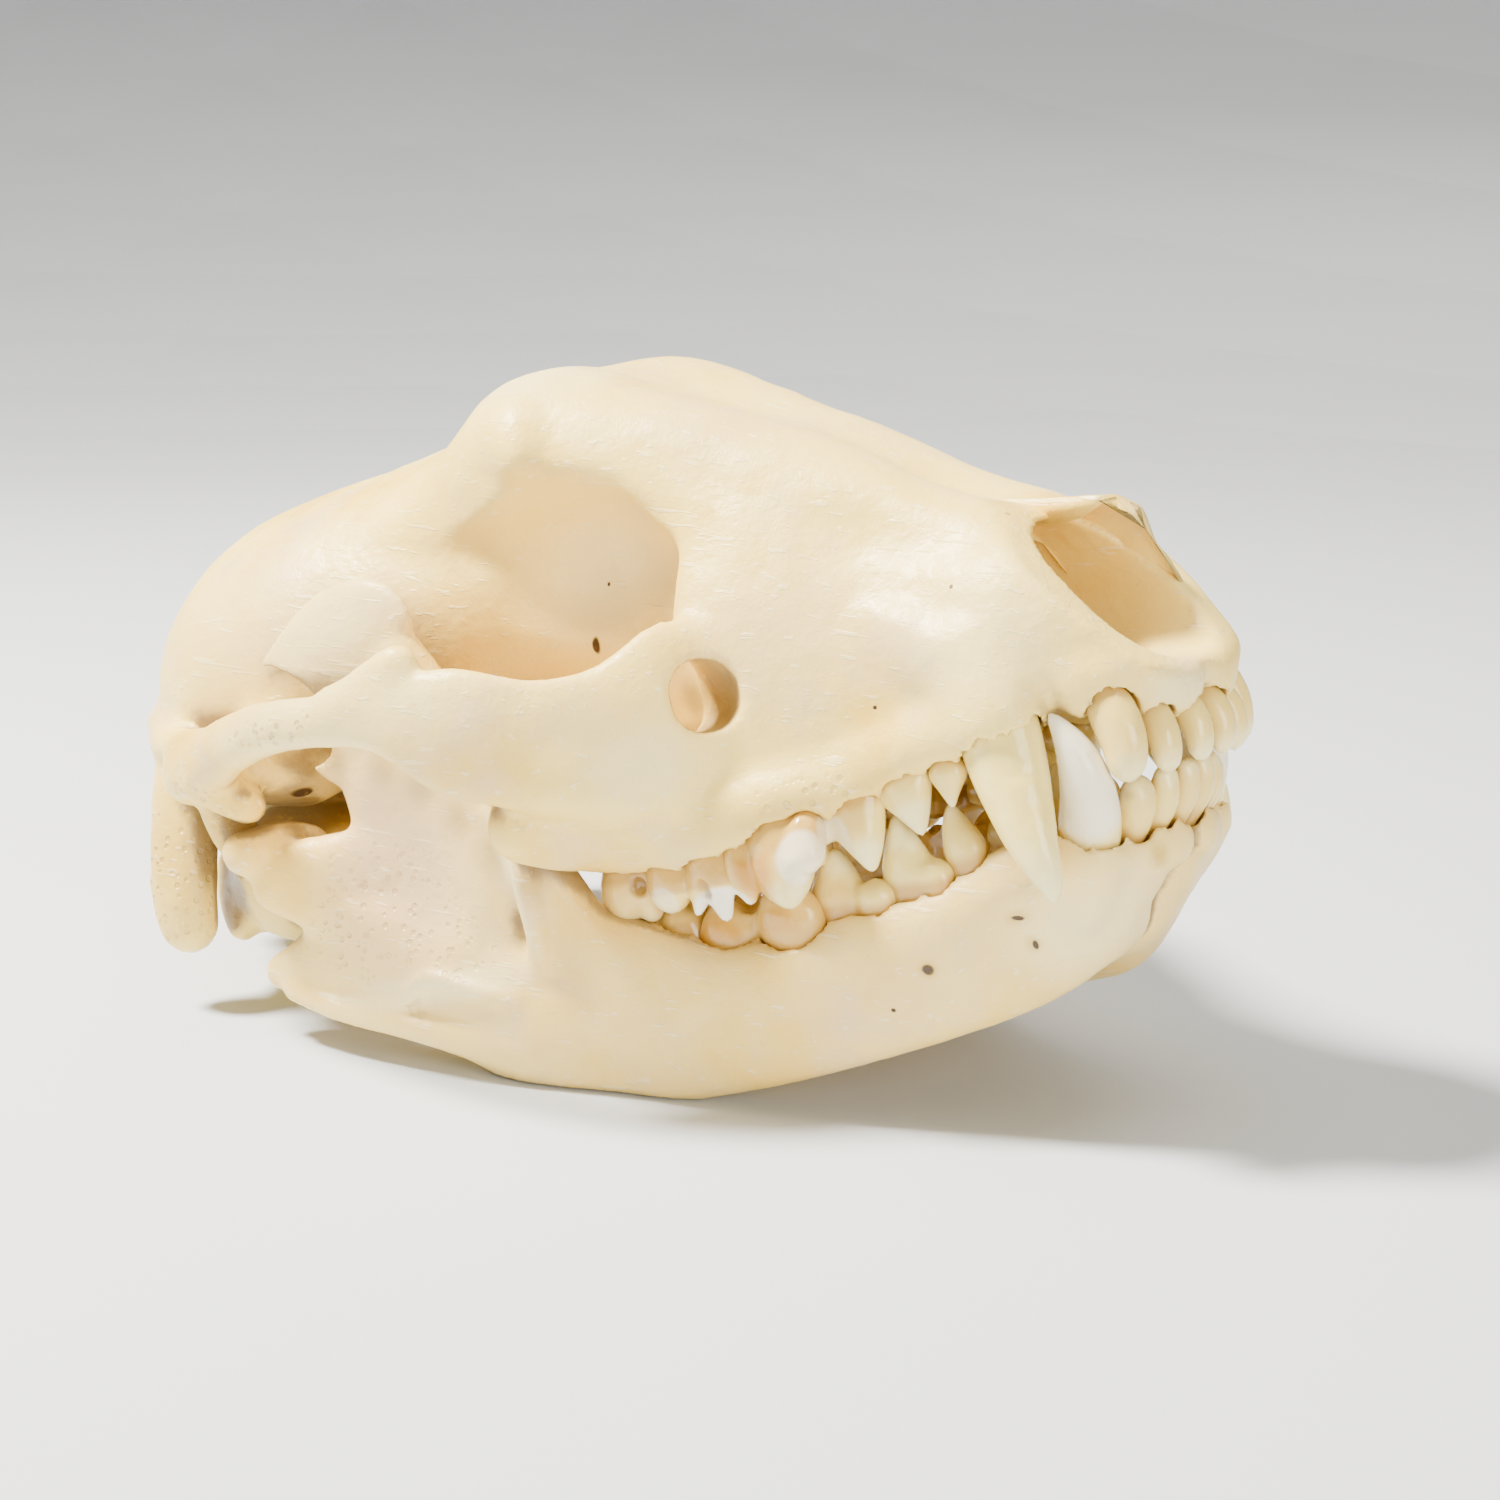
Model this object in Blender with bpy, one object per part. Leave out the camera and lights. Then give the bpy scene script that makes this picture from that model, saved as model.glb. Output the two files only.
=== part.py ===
# Raccoon skull with its lower jaw, life size, resting on the rounded lower edges of the jaw.
# The forms are laid out in millimetres in the skull's own frame: x forward from the occiput
# to the incisors, y out to the left side, z up, with zero at the socket of the upper canine.
# Every form of the left side is mirrored to the right. At the end the skull is pitched nose up
# as it rests, and set on the floor with the middle of its box at the origin.
import math

import bmesh
import bpy
import numpy as np
from mathutils import Matrix, Vector

MM = 0.001
PITCH = 16.2                 # degrees, nose up
FLAT_DEPTH = 0.9             # mm taken off the lower edge of the jaw where it rests
GAP = 0.3                    # mm between pieces
VOXEL = 0.8                  # mm, grain at which bone forms are fused
SMOOTHING = 7                # passes that round the joins
BRAINCASE_FACES = 1900
OCCIPUT_FACES = 2100
SNOUT_FACES = 2900
ARCH_FACES = 460
JAW_FACES = 1700

FRONT_OF_BRAINCASE = 58.0    # x of the cut between braincase and snout
FRONT_OF_OCCIPUT = 24.0
BACK_OF_ARCH = 36.0          # x of the cut behind each cheek arch
ROOT_OF_ARCH = 27.0          # y of the cut through the arch's front root
FAR = 180.0                  # mm, past every surface

BONE_COLOUR = (0.86, 0.81, 0.69, 1.0)
JAW_COLOUR = (0.88, 0.83, 0.73, 1.0)
BONE_ROUGHNESS = 0.5

# Lofts along x: stations, half width, top, bottom, height of the widest line and the
# powers that make the upper and lower arcs rounder or squarer.
BRAINCASE = {
    "x": [3, 6, 10, 15, 22, 30, 38, 46, 52, 58, 66],
    "half": [9, 13.4, 17.4, 21, 23.3, 23.2, 21, 17.6, 15.6, 13.6, 12],
    "top": [18.4, 23.8, 28.4, 32.2, 34.4, 35, 35.2, 35.6, 36, 36, 35],
    "bottom": [8, 5, 4, 3.5, 4, 4.5, 5, 7, 9, 9, 9],
    "waist": 0.46, "top_power": [2.1, 2.1, 2.1, 2.1, 2.1, 2.1, 2, 1.8, 1.7, 1.7, 1.7],
    "bottom_power": 2.4, "caps": (3, 1)}
BRAIN_CAVITY = {
    "x": [7.4, 10, 15, 22, 30, 38, 44, 49],
    "half": [8.6, 14.4, 18.9, 21.5, 21.6, 18.9, 14.6, 9],
    "top": [22, 26.2, 30, 32.4, 33.2, 33.3, 32.6, 29.6],
    "bottom": [9, 6.8, 5.8, 5.8, 6.4, 8.4, 12, 18],
    "waist": 0.46, "top_power": 2.2, "bottom_power": 2.2, "caps": (3, 4)}
FOREHEAD = {
    "x": [34, 41, 47, 52, 56, 60, 64, 70, 76, 84, 90],
    "half": [14.6, 15, 15.3, 16, 16.7, 17, 16.4, 15, 13.6, 11, 9],
    "top": [33.6, 35, 36.6, 38.3, 39.2, 38.8, 36.8, 33.4, 30, 25.4, 21.6],
    "bottom": [25, 25, 25, 24.4, 23.4, 22.4, 21, 19, 16, 12, 9],
    "waist": 0.4, "top_power": [1.8, 1.9, 2.2, 2.7, 3.3, 3.4, 3.2, 2.8, 2.4, 2.2, 2.2],
    "bottom_power": 1.6, "caps": (3, 4)}
ORBIT_WALL = {
    "x": [48, 56, 64, 72, 80, 86],
    "half": [9.5, 9.5, 10, 11.5, 14, 14],
    "top": [35, 35.5, 34.5, 31.5, 27.5, 23.5],
    "bottom": [6, 4, 1, 0, 0, 0],
    "waist": 0.4, "top_power": 2.2, "bottom_power": 3.0, "caps": (3, 3)}
MUZZLE = {
    "x": [71, 75, 79, 84, 90, 96, 101, 105, 108.5, 112.2],
    "half": [17.5, 19.6, 18.9, 16.9, 14.6, 13.4, 13, 11.4, 9.4, 7.2],
    "top": [28, 29, 28.4, 25.2, 21.6, 18.8, 17.4, 16.6, 16, 15],
    "bottom": [-1, -3.5, -3.5, -2.5, -0.5, 0.8, 1.6, 1.8, 1.6, 1.4],
    "waist": [0.3, 0.26, 0.24, 0.22, 0.2, 0.2, 0.22, 0.25, 0.25, 0.25],
    "top_power": [2, 2, 2, 2.05, 2.15, 2.3, 2.4, 2.4, 2.4, 2.4], "bottom_power": 3.2, "caps": (4, 0.8)}
PALATE = {
    "x": [53, 57, 62, 70, 78, 86, 94, 102, 110],
    "half": [7, 11, 17, 18.5, 17, 14.5, 12, 11, 8],
    "top": [3.5, 4, 4, 4, 4, 4, 5, 5, 4.5],
    "bottom": [0.5, 0.3, 0, 0, 0, 0.3, 0.8, 1.6, 2],
    "waist": 0.5, "top_power": 3.0, "bottom_power": 3.0, "caps": (1.5, 1)}
SKULL_BASE = {
    "x": [8, 16, 26, 36, 46, 56],
    "half": [5, 6, 6.5, 6.5, 7.5, 8.5],
    "top": [8, 8, 9, 10, 10, 9],
    "bottom": [3.6, 2.6, 2.8, 3.6, 4.6, 5],
    "waist": 0.5, "top_power": 3.0, "bottom_power": 3.0, "caps": (1, 1)}

# Sweeps: rows of x, y, z, half height and half thickness along a path.
# "up" is the direction in which the height lies.
UP, OUT, FORE = (0, 0, 1), (0, 1, 0), (1, 0, 0)
SNOUT_FORMS = {
    "brow_swelling": (UP, [(54, 7.5, 34.2, 4.4, 6.5), (61, 7.4, 33.4, 4.4, 6.5),
                           (68, 6.8, 30.4, 4.2, 6), (76, 6, 26.4, 4, 5), (84, 5.2, 22, 3.9, 4.4),
                           (92, 4.6, 17.8, 3.4, 3.8), (100, 4.2, 14.4, 2.9, 3.4)]),
    "brow_corner": (FORE, [(58.5, 12, 34, 3, 4), (60.6, 15.6, 31.6, 2.2, 2.6),
                           (61.4, 17.2, 29.8, 1, 1.2)]),
    "tooth_shelf": (UP, [(60.5, 16.6, -1.2, 3, 3.4), (66, 17.3, -1.6, 3.8, 4.2),
                         (73, 17.8, -1.8, 3.8, 4), (79, 16.9, -1.4, 3.4, 3.6), (85, 14.7, -0.9, 3, 2.7),
                         (91, 13.1, 0.5, 2.7, 2.4), (97, 12, 1.6, 2.6, 2.6)]),
    "canine_socket": (UP, [(88, 11, 12, 2, 2), (93.5, 11.6, 8.5, 2.9, 2.6), (97.5, 11.8, 6, 3, 2.8)]),
    "canine_collar": (FORE, [(97, 11.2, 10, 2.6, 2.4), (98.2, 11.5, 6, 3.8, 3.1),
                             (99.2, 11.9, 2.4, 4.4, 3.5), (99.9, 12.3, -2.2, 4.4, 3.5)]),
    "incisor_rim": (UP, [(104, 9.6, 2.9, 2.6, 2.4), (107.6, 7.8, 2.8, 2.5, 2.4),
                         (110.2, 4.6, 2.8, 2.4, 2.2), (111.2, 0, 2.8, 2.4, 2.2)]),
    "cheek_corner": (UP, [(61.8, 30.2, 3, 3.6, 2.6), (62.6, 26.6, 0.8, 3, 2.6),
                          (63.2, 23, -0.6, 2.8, 2.6), (63.5, 19, -1, 3, 3)]),
    "cheek_root": (UP, [(70, 19, 0.5, 4, 6), (68, 25, 3.2, 3.2, 4.4), (65.5, 29.3, 6.2, 3, 3)])}
ARCH_FORMS = {
    "cheek_arch": (UP, [(78.5, 15.5, 7, 9.5, 3.2), (75.5, 19.5, 7.5, 8.6, 2.6), (71, 25, 7.4, 5.6, 2.1),
                        (66.5, 29.6, 8, 5.3, 1.9), (61.5, 32.6, 10.4, 5.2, 1.8),
                        (56, 34.2, 12.6, 3, 1.7), (49, 34.8, 13.5, 2, 1.7), (42, 34.2, 13.9, 2.1, 1.7),
                        (35, 32.6, 13, 2.6, 1.8), (29, 30, 11.8, 2.8, 2.4), (24, 26.5, 11.5, 2.8, 3),
                        (22, 23, 11.5, 2.8, 3)]),
    "arch_corner": (UP, [(50, 34.7, 14, 1.6, 1.5), (54, 34.3, 14.9, 1.8, 1.5),
                         (57.6, 33.7, 16, 1.9, 1.4), (59.9, 33.2, 17.1, 1.5, 1.1)])}
BRAINCASE_FORMS = {
    "side_crest": (UP, [(33, 30.5, 13.6, 1.6, 1), (27, 28.4, 13.8, 1.5, 1.2),
                        (21, 25.2, 14.3, 1.4, 1.6), (16, 22.2, 15.4, 1.3, 1.6),
                        (12.4, 19, 17.6, 1.2, 1.6)]),
    "jaw_seat": (UP, [(29.6, 15, 11, 5, 5), (30.2, 20, 11.2, 4.8, 4.4), (30, 25, 11.4, 3.8, 4),
                      (28.8, 29, 11.8, 2.6, 3.2)]),
    "hook_behind_joint": (OUT, [(26.6, 27.6, 9.8, 2, 1.8), (26.4, 25.5, 4.5, 2.2, 1.5),
                                (27.2, 24.5, 1.8, 1.6, 1)]),
    "lip_before_joint": (UP, [(27.4, 30, 11.4, 2.4, 2), (30.4, 29.6, 9.2, 2, 1.8),
                              (33.4, 28.6, 6.8, 1.5, 1.5)]),
    "mastoid": (OUT, [(17.5, 20, 17, 2.2, 3), (17.3, 22.4, 11, 2.6, 3.4), (16.8, 24, 5, 2.6, 3.4),
                      (16.4, 24.9, 0, 2.4, 3.2), (16.1, 25, -4.6, 1.9, 2.5)]),
    "beside_occiput": (OUT, [(15, 15, 4, 2.4, 2.6), (16, 17.6, 0, 2, 2.2), (17.4, 19.6, -3.6, 1.3, 1.5),
                             (17.6, 20, -4.6, 0.9, 1)]),
    "ear_tube": (UP, [(22.5, 19, 3.2, 2.6, 2.8), (22.6, 23.2, 3.4, 2.2, 2.4)]),
    "occiput_crest": (FORE, [(6.2, 0, 23.6, 1.4, 2), (8.2, 7.5, 23.2, 1.4, 2),
                             (11.6, 13.4, 20.6, 1.4, 2), (14, 17.6, 16.2, 1.4, 1.8),
                             (15.6, 21.4, 11, 1.5, 2)]),
    "wing_of_palate": (UP, [(57.4, 8.6, 3.4, 3.4, 1.3), (50, 7.6, 2.6, 3.6, 1.2),
                            (44, 7, 2.4, 3.2, 1.1), (39.5, 7, 1.2, 1.6, 0.9)])}
JAW_FORMS = {
    "ramus": (FORE, [(47, 22.8, -10, 9, 2.8), (47.6, 23.2, -5, 9.2, 2.4), (48.2, 24, 4, 8.6, 2.1),
                     (47.4, 24.8, 10.5, 8.5, 1.8), (44, 25.6, 16.5, 9.9, 1.7),
                     (43.2, 25.9, 20.2, 10.2, 1.5), (42.5, 25.8, 22.8, 8.8, 1.2),
                     (42, 25.5, 24.2, 5.6, 0.8)]),
    "front_edge_of_ramus": (OUT, [(60.2, 19.4, -12, 2.6, 3), (58.6, 21.8, -5, 2.4, 2.8),
                                  (57, 24, 3.4, 2.1, 2.4), (54.4, 25.2, 11, 1.7, 1.9),
                                  (51, 25.8, 18.4, 1.4, 1.5)]),
    "condyle_neck": (UP, [(46, 24, -4, 6, 1.8), (39, 25, -1.2, 4.9, 1.9), (35, 26, -0.2, 4.2, 2),
                          (32, 27, 1, 3.2, 2.2), (30.4, 28, 2.6, 2.4, 2.2)]),
    "rear_corner": (UP, [(44, 24.2, -9, 5, 1.8), (36, 25, -7.2, 4.6, 1.7), (30.5, 25.6, -7.6, 2.6, 1.6),
                         (26.4, 25.8, -7.4, 1.2, 1.2)]),
    "lower_ridge": (UP, [(29, 26.3, -8.8, 1, 1.2), (35, 26.5, -11.4, 1, 1.3), (41, 26, -13.4, 1.1, 1.4),
                         (47, 25, -15.8, 1.3, 1.5), (54, 22.8, -18.6, 1.5, 1.5)]),
    "front_ridge": (OUT, [(58.4, 25.6, 4.6, 0.9, 1), (58.8, 25.3, 1.4, 1, 1.1),
                          (57.8, 24.8, -3, 1.1, 1.1), (56.4, 24.2, -7.4, 1.1, 1.1),
                          (55.4, 23.6, -11, 1.1, 1.2), (54.8, 22.8, -14.6, 1, 1.2)]),
    "inner_crest": (UP, [(36, 26.2, -10.6, 0.6, 0.7), (42, 26, -11.8, 0.8, 0.8),
                         (46.2, 25.8, -10.2, 0.8, 0.9), (49.8, 25.2, -11.6, 0.8, 0.9),
                         (54.6, 23.8, -13.6, 0.8, 0.9)]),
    "canine_swelling": (UP, [(92, 9.2, -15.5, 3, 2), (97.5, 8.6, -13, 3.2, 2.2),
                             (101, 7.8, -11.4, 2.6, 2.2)]),
    "canine_collar": (FORE, [(98.4, 7.2, -16.4, 2.2, 2), (101, 7.7, -13, 3, 2.6),
                             (102.9, 8.2, -10, 3.4, 2.9), (103.9, 8.8, -7.4, 3.3, 2.8)]),
    "chin": (UP, [(86, 5.2, -19.2, 2.6, 3), (93, 3, -17.6, 3.6, 3), (99, 1.6, -15.6, 3.8, 2.6),
                  (102, 0.8, -13.6, 3.2, 1.8)]),
    "tooth_shelf": (UP, [(59, 17.4, -9.6, 2.2, 2.2), (62, 16.8, -11.8, 2.4, 2.8),
                         (66, 16.1, -13.2, 2.4, 2.9), (74.6, 15.2, -14.8, 2.4, 3.1),
                         (82, 13.5, -13.8, 2.4, 2.6), (88, 12.1, -12.9, 2.4, 2.3),
                         (93, 10.9, -11.9, 2.4, 2.2), (98, 9.7, -10.5, 2.5, 2.3),
                         (101.6, 8.4, -10.4, 2.6, 2.9), (103.4, 6.6, -10.8, 2.6, 2.6)]),
    "incisor_shelf": (UP, [(103.6, 6.4, -11, 2.4, 2), (105.4, 4.4, -10.8, 2.4, 1.9),
                           (106.6, 2.2, -10.6, 2.4, 1.8), (107, 0, -10.6, 2.4, 1.8)])}
JAW_BODY = [(38, 23.8, -10.3, 4.2, 1.9, 0), (46, 23.2, -11, 5.6, 2.6, 0),
            (53, 21.6, -13.7, 7.4, 3.2, 0), (60, 19.4, -15.4, 8, 3.4, -2),
            (66, 18, -17.3, 7.4, 3.4, -5), (72, 16.7, -18.2, 6.4, 3.4, -8),
            (78, 15, -18, 6.2, 3.3, -12), (84, 13, -17.4, 6.4, 3.2, -16),
            (90, 10.8, -16.8, 6.5, 3.2, -20), (95.5, 8.2, -15.6, 6.8, 3, -26),
            (99.6, 6.2, -14.4, 6.2, 2.8, -34), (102, 4.6, -13.7, 5.6, 2.6, -42),
            (103.4, 2.6, -13.2, 5, 2.4, -48), (104, 0, -13, 4.8, 2.2, -50)]
CONDYLE = [(31.6, 20.4, 2.7, 1.5, 1.5), (31.2, 23.5, 3, 2.4, 2.4), (30.9, 27.5, 3.4, 2.4, 2.4),
           (30.2, 31.2, 4.2, 1.5, 1.5)]
CONDYLE_ROOM = 0.6           # mm left round the condyle in its seat
CHEWING_HOLLOW = [(48.6, 29.4, 9, 6, 3.4), (47.4, 29.1, 2, 8.6, 3.8), (45.8, 28.9, -5, 8.6, 3.9),
                  (44, 29, -8.6, 6, 3.1)]

EAR_DRUM = ((25.5, 14.2, 1.2), (9, 6.6, 6.2), -8)        # centre, half axes, tilt in degrees
OCCIPITAL_CONDYLE = ((5, 6.6, 7.6), (3.3, 3.6, 5.2), 20)
EAR_PASSAGE = [(22.8, 32, 2.8, 1.6, 1.7), (22.8, 22, 3, 1.6, 1.7), (23.6, 17, 2.6, 1.6, 1.7)]
EAR_CAVITY = ((25.5, 14.2, 1.4), (7, 4.9, 4.6), -8)
EYE_SOCKET = ((63.8, 21.4, 20.2), (11.3, 11, 10), 8)

NOSE_PASSAGE = [(124, 0, 8.6, 7, 8.2), (110, 0, 9.4, 6.2, 7.2), (104, 0, 10, 6, 6.6), (96, 0, 10.6, 6, 6.2),
                (86, 0, 12, 7, 6.4), (76, 0, 12, 6, 6)]
NOSE_RIM = ((111, 4), (101.9, 15.2))                     # x, z of the slanted rim, bottom and top
CHEEK_PASSAGE = [(84.5, 23.4, 8.5, 2.8, 2.6), (79.4, 20.8, 8.5, 3, 2.8), (75.2, 18.2, 8.6, 3, 2.8),
                 (70, 16, 9.2, 3.2, 3), (64, 15, 10, 3.6, 3.4)]
SPINE_PASSAGE = [(-8, 0, 10, 5.2, 6), (4, 0, 10.6, 5.2, 6.2), (12, 0, 12, 5, 7)]
THROAT_PASSAGE = [(36, 0, 1.2, 3, 5), (50, 0, 1.6, 3.2, 5.4), (60, 0, 5.2, 2.6, 5.2), (74, 0, 9, 3, 5)]

# Cheek teeth: place on the gum, length, width and height, turn in degrees, slope of the biting
# face, rim height and cusps as (along, across, height, reach).
UPPER_CROWNS = {
    "molar_2": ((64.3, 16.6, -4.6), (6.4, 8.4, 4.2), 14, 0.5, 0.62,
                [(-0.4, 0.55, 0.3, 0.5), (0.45, 0.6, 0.32, 0.5), (0.1, -0.55, 0.25, 0.55)]),
    "molar_1": ((71.7, 16.8, -5.1), (8.4, 9.4, 4.5), 8, 0.7, 0.62,
                [(-0.5, 0.6, 0.34, 0.42), (0.45, 0.62, 0.4, 0.42), (0.35, -0.5, 0.28, 0.42)]),
    "premolar_4": ((79.4, 16.4, -4.6), (7.2, 8.8, 5), 4, 0.8, 0.62,
                   [(-0.55, 0.62, 0.3, 0.4), (0.15, 0.6, 0.46, 0.5), (0.7, 0.5, 0.2, 0.35)])}
LOWER_CROWNS = {
    "molar_2": ((65.2, 15.8, -10.4), (8.4, 5.4, 4.4), 4, -0.3, 0.62,
                [(0.5, 0.5, 0.25, 0.35), (0.5, -0.5, 0.3, 0.35), (-0.4, 0.5, 0.2, 0.35)]),
    "molar_1": ((73.8, 15.2, -12.2), (9.8, 5.4, 5.6), -6, -0.3, 0.62,
                [(0.75, 0, 0.3, 0.3), (0.35, 0.5, 0.36, 0.32), (0.3, -0.5, 0.34, 0.3)])}
# Premolars, canines and incisors: rows of x, y, z, half length and half width from root to tip.
UPPER_FANGS = {
    "canine": [(96.5, 11.2, 9, 1.8, 1.5), (98.2, 11.5, 5, 2.8, 2.2), (99.4, 11.9, 1.5, 3.5, 2.6),
               (100, 12.4, -2, 3.35, 2.55), (100.7, 13, -5.2, 2.8, 2.25), (101.5, 13.6, -8.4, 2.1, 1.7),
               (102.3, 13.8, -11.6, 1.1, 0.95), (102.4, 13.8, -13.3, 0.3, 0.3)],
    "premolar_1": [(94.4, 12.5, 3, 0.9, 0.8), (94.6, 12.7, -0.4, 1.2, 1), (94.6, 12.9, -1.8, 1.6, 1.2),
                   (94.6, 13, -3.4, 0.8, 0.7), (94.6, 13, -4.5, 0.15, 0.15)],
    "premolar_2": [(89.2, 12.9, 2.5, 1.6, 1.1), (89.2, 13.1, -0.8, 2.2, 1.3),
                   (89.1, 13.2, -2.3, 2.8, 1.65), (89.2, 13.4, -4.2, 1.7, 1.2),
                   (89.3, 13.6, -6.4, 0.3, 0.3)],
    "premolar_3": [(84.3, 14, 1.5, 2, 1.3), (84.3, 14.2, -2.2, 2.7, 1.6), (84.2, 14.4, -3.6, 3.4, 2),
                   (83.9, 14.6, -5.6, 2.2, 1.5), (83.5, 14.8, -8.3, 0.35, 0.35)],
    "incisor_3": [(105.6, 7.8, 4.4, 1, 1), (106.8, 8.1, 2.6, 1.4, 1.3), (107.9, 8.5, 0.4, 1.9, 1.6),
                  (108.6, 8.7, -2.4, 1.6, 1.4), (108.6, 8.7, -5.2, 0.5, 0.6)],
    "incisor_2": [(107.6, 4.8, 4.4, 0.9, 0.8), (108.8, 5, 2.6, 1.1, 1), (110.2, 5.3, 0.2, 1.45, 1.3),
                  (111, 5.5, -2, 1.1, 1.2), (110.9, 5.5, -3.6, 0.4, 0.9)],
    "incisor_1": [(108.6, 1.5, 4.4, 0.8, 0.7), (109.8, 1.6, 2.6, 1, 0.9), (111.2, 1.8, 0.2, 1.35, 1.25),
                  (111.9, 1.9, -1.8, 1, 1.15), (111.8, 1.9, -3.4, 0.4, 0.85)]}
LOWER_FANGS = {
    "premolar_2": [(92.4, 10.8, -13, 1.4, 1), (92.5, 10.9, -9.6, 2, 1.2), (92.7, 10.9, -8, 2.5, 1.5),
                   (93.2, 11, -6, 1.6, 1.2), (93.8, 11.1, -3.8, 0.3, 0.3)],
    "premolar_3": [(87.4, 12, -14, 1.6, 1.1), (87.5, 12.1, -10.6, 2.4, 1.4), (87.6, 12.1, -9, 3, 1.7),
                   (88, 12.2, -6.8, 1.9, 1.3), (88.4, 12.3, -4.2, 0.3, 0.3)],
    "premolar_4": [(81.2, 13.2, -15, 2, 1.3), (81.2, 13.4, -11.4, 3, 1.8), (81.3, 13.4, -9.6, 3.6, 2.1),
                   (81.8, 13.4, -7.6, 2.4, 1.6), (82.4, 13.4, -5.8, 0.6, 0.5)],
    "canine": [(98.6, 7.4, -15.5, 1.6, 1.4), (101.2, 7.8, -12, 2.2, 1.8), (103.3, 8.3, -8.8, 2.6, 2.1),
               (104.6, 9.2, -5.4, 2.35, 1.9), (104.8, 10.1, -2, 1.6, 1.45),
               (103.7, 10.8, 1.5, 0.3, 0.3)],
    "incisor_3": [(101.4, 4.6, -13, 0.7, 0.7), (104.4, 5, -10.2, 1, 0.95),
                  (106.6, 5.3, -7.4, 1.3, 1.15), (107.6, 5.5, -5.2, 0.5, 1)],
    "incisor_2": [(102, 2.9, -13, 0.6, 0.6), (105.2, 3.1, -10, 0.9, 0.8),
                  (107.6, 3.35, -7.2, 1.15, 0.95), (108.6, 3.4, -5.1, 0.45, 0.8)],
    "incisor_1": [(102.4, 1.2, -13, 0.6, 0.55), (105.8, 1.25, -9.8, 0.85, 0.7),
                  (108.2, 1.35, -7, 1.1, 0.9), (109.2, 1.35, -5, 0.4, 0.75)]}


# Numbers along a curve

def through(stations, values, at):
    """Smooth curve through the stations that never overshoots them, read at the places given."""
    xs, ys = np.asarray(stations, float), np.asarray(values, float)
    step = np.diff(xs)
    slope = np.diff(ys) / step
    tangent = np.zeros_like(ys)
    before, after = 2 * step[1:] + step[:-1], step[1:] + 2 * step[:-1]
    for i in range(1, len(xs) - 1):
        if slope[i - 1] * slope[i] > 0:
            w1, w2 = before[i - 1], after[i - 1]
            tangent[i] = (w1 + w2) / (w1 / slope[i - 1] + w2 / slope[i])
    tangent[0], tangent[-1] = slope[0], slope[-1]
    return hermite(xs, ys, tangent, at)


def hermite(xs, ys, tangent, at):
    i = np.clip(np.searchsorted(xs, at) - 1, 0, len(xs) - 2)
    h = xs[i + 1] - xs[i]
    t = np.clip((at - xs[i]) / h, 0, 1)
    if ys.ndim == 2:
        h, t = h[:, None], t[:, None]
    return ((1 + 2 * t) * (1 - t) ** 2 * ys[i] + t * (1 - t) ** 2 * h * tangent[i]
            + t * t * (3 - 2 * t) * ys[i + 1] - t * t * (1 - t) * h * tangent[i + 1])


def along_path(rows, count):
    """Rows spaced evenly along the smooth curve through the rows given."""
    rows = np.asarray(rows, float)
    run = np.concatenate([[0], np.cumsum(np.linalg.norm(np.diff(rows[:, :3], axis=0), axis=1))])
    return hermite(run, rows, np.gradient(rows, run, axis=0), np.linspace(0, run[-1], count))


def power_arc(wave, power):
    return np.sign(wave) * np.abs(wave) ** (2 / power)


# Closed surfaces as points and faces

def closed(grid):
    """A stack of rings with a fan at each end."""
    rings, sides = grid.shape[:2]
    points = np.concatenate([grid.reshape(-1, 3), [grid[0].mean(0)], [grid[-1].mean(0)]])
    faces = []
    for r in range(rings - 1):
        for s in range(sides):
            n = (s + 1) % sides
            faces.append((r * sides + s, r * sides + n, (r + 1) * sides + n, (r + 1) * sides + s))
    first, last = rings * sides, rings * sides + 1
    for s in range(sides):
        n = (s + 1) % sides
        faces.append((first, n, s))
        faces.append((last, (rings - 1) * sides + s, (rings - 1) * sides + n))
    return points, faces


def at_stations(form, key, x):
    """A value of a loft along x, whether it is given once or at every station."""
    value = form[key]
    return through(form["x"], value, x) if isinstance(value, list) else np.full_like(x, value)


def loft(form, rings=36, sides=36):
    """Superellipse rings square to x, drawn in to a rounded point over each cap."""
    x0, x1 = form["x"][0], form["x"][-1]
    x = x0 + (x1 - x0) * (0.5 - 0.5 * np.cos(np.linspace(0, math.pi, rings)))
    top, bottom, half = (at_stations(form, k, x) for k in ("top", "bottom", "half"))
    waist = bottom + (top - bottom) * at_stations(form, "waist", x)
    top_power, bottom_power = (at_stations(form, k, x)[:, None] for k in ("top_power", "bottom_power"))
    start = np.clip((x - x0) / form["caps"][0], 0, 1)
    end = np.clip((x1 - x) / form["caps"][1], 0, 1)
    shrink = np.maximum(np.sqrt(1 - (1 - start) ** 2) * np.sqrt(1 - (1 - end) ** 2), 0.03)
    angle = np.linspace(0, 2 * math.pi, sides, endpoint=False)[None]
    upper = np.sin(angle) > 0
    power = np.where(upper, top_power, bottom_power)
    rise = np.where(upper, (top - waist)[:, None], (waist - bottom)[:, None])
    y = (half * shrink)[:, None] * power_arc(np.cos(angle), power)
    z = waist[:, None] + rise * shrink[:, None] * power_arc(np.sin(angle), power)
    return closed(np.stack([np.broadcast_to(x[:, None], y.shape), y, z], -1))


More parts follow.
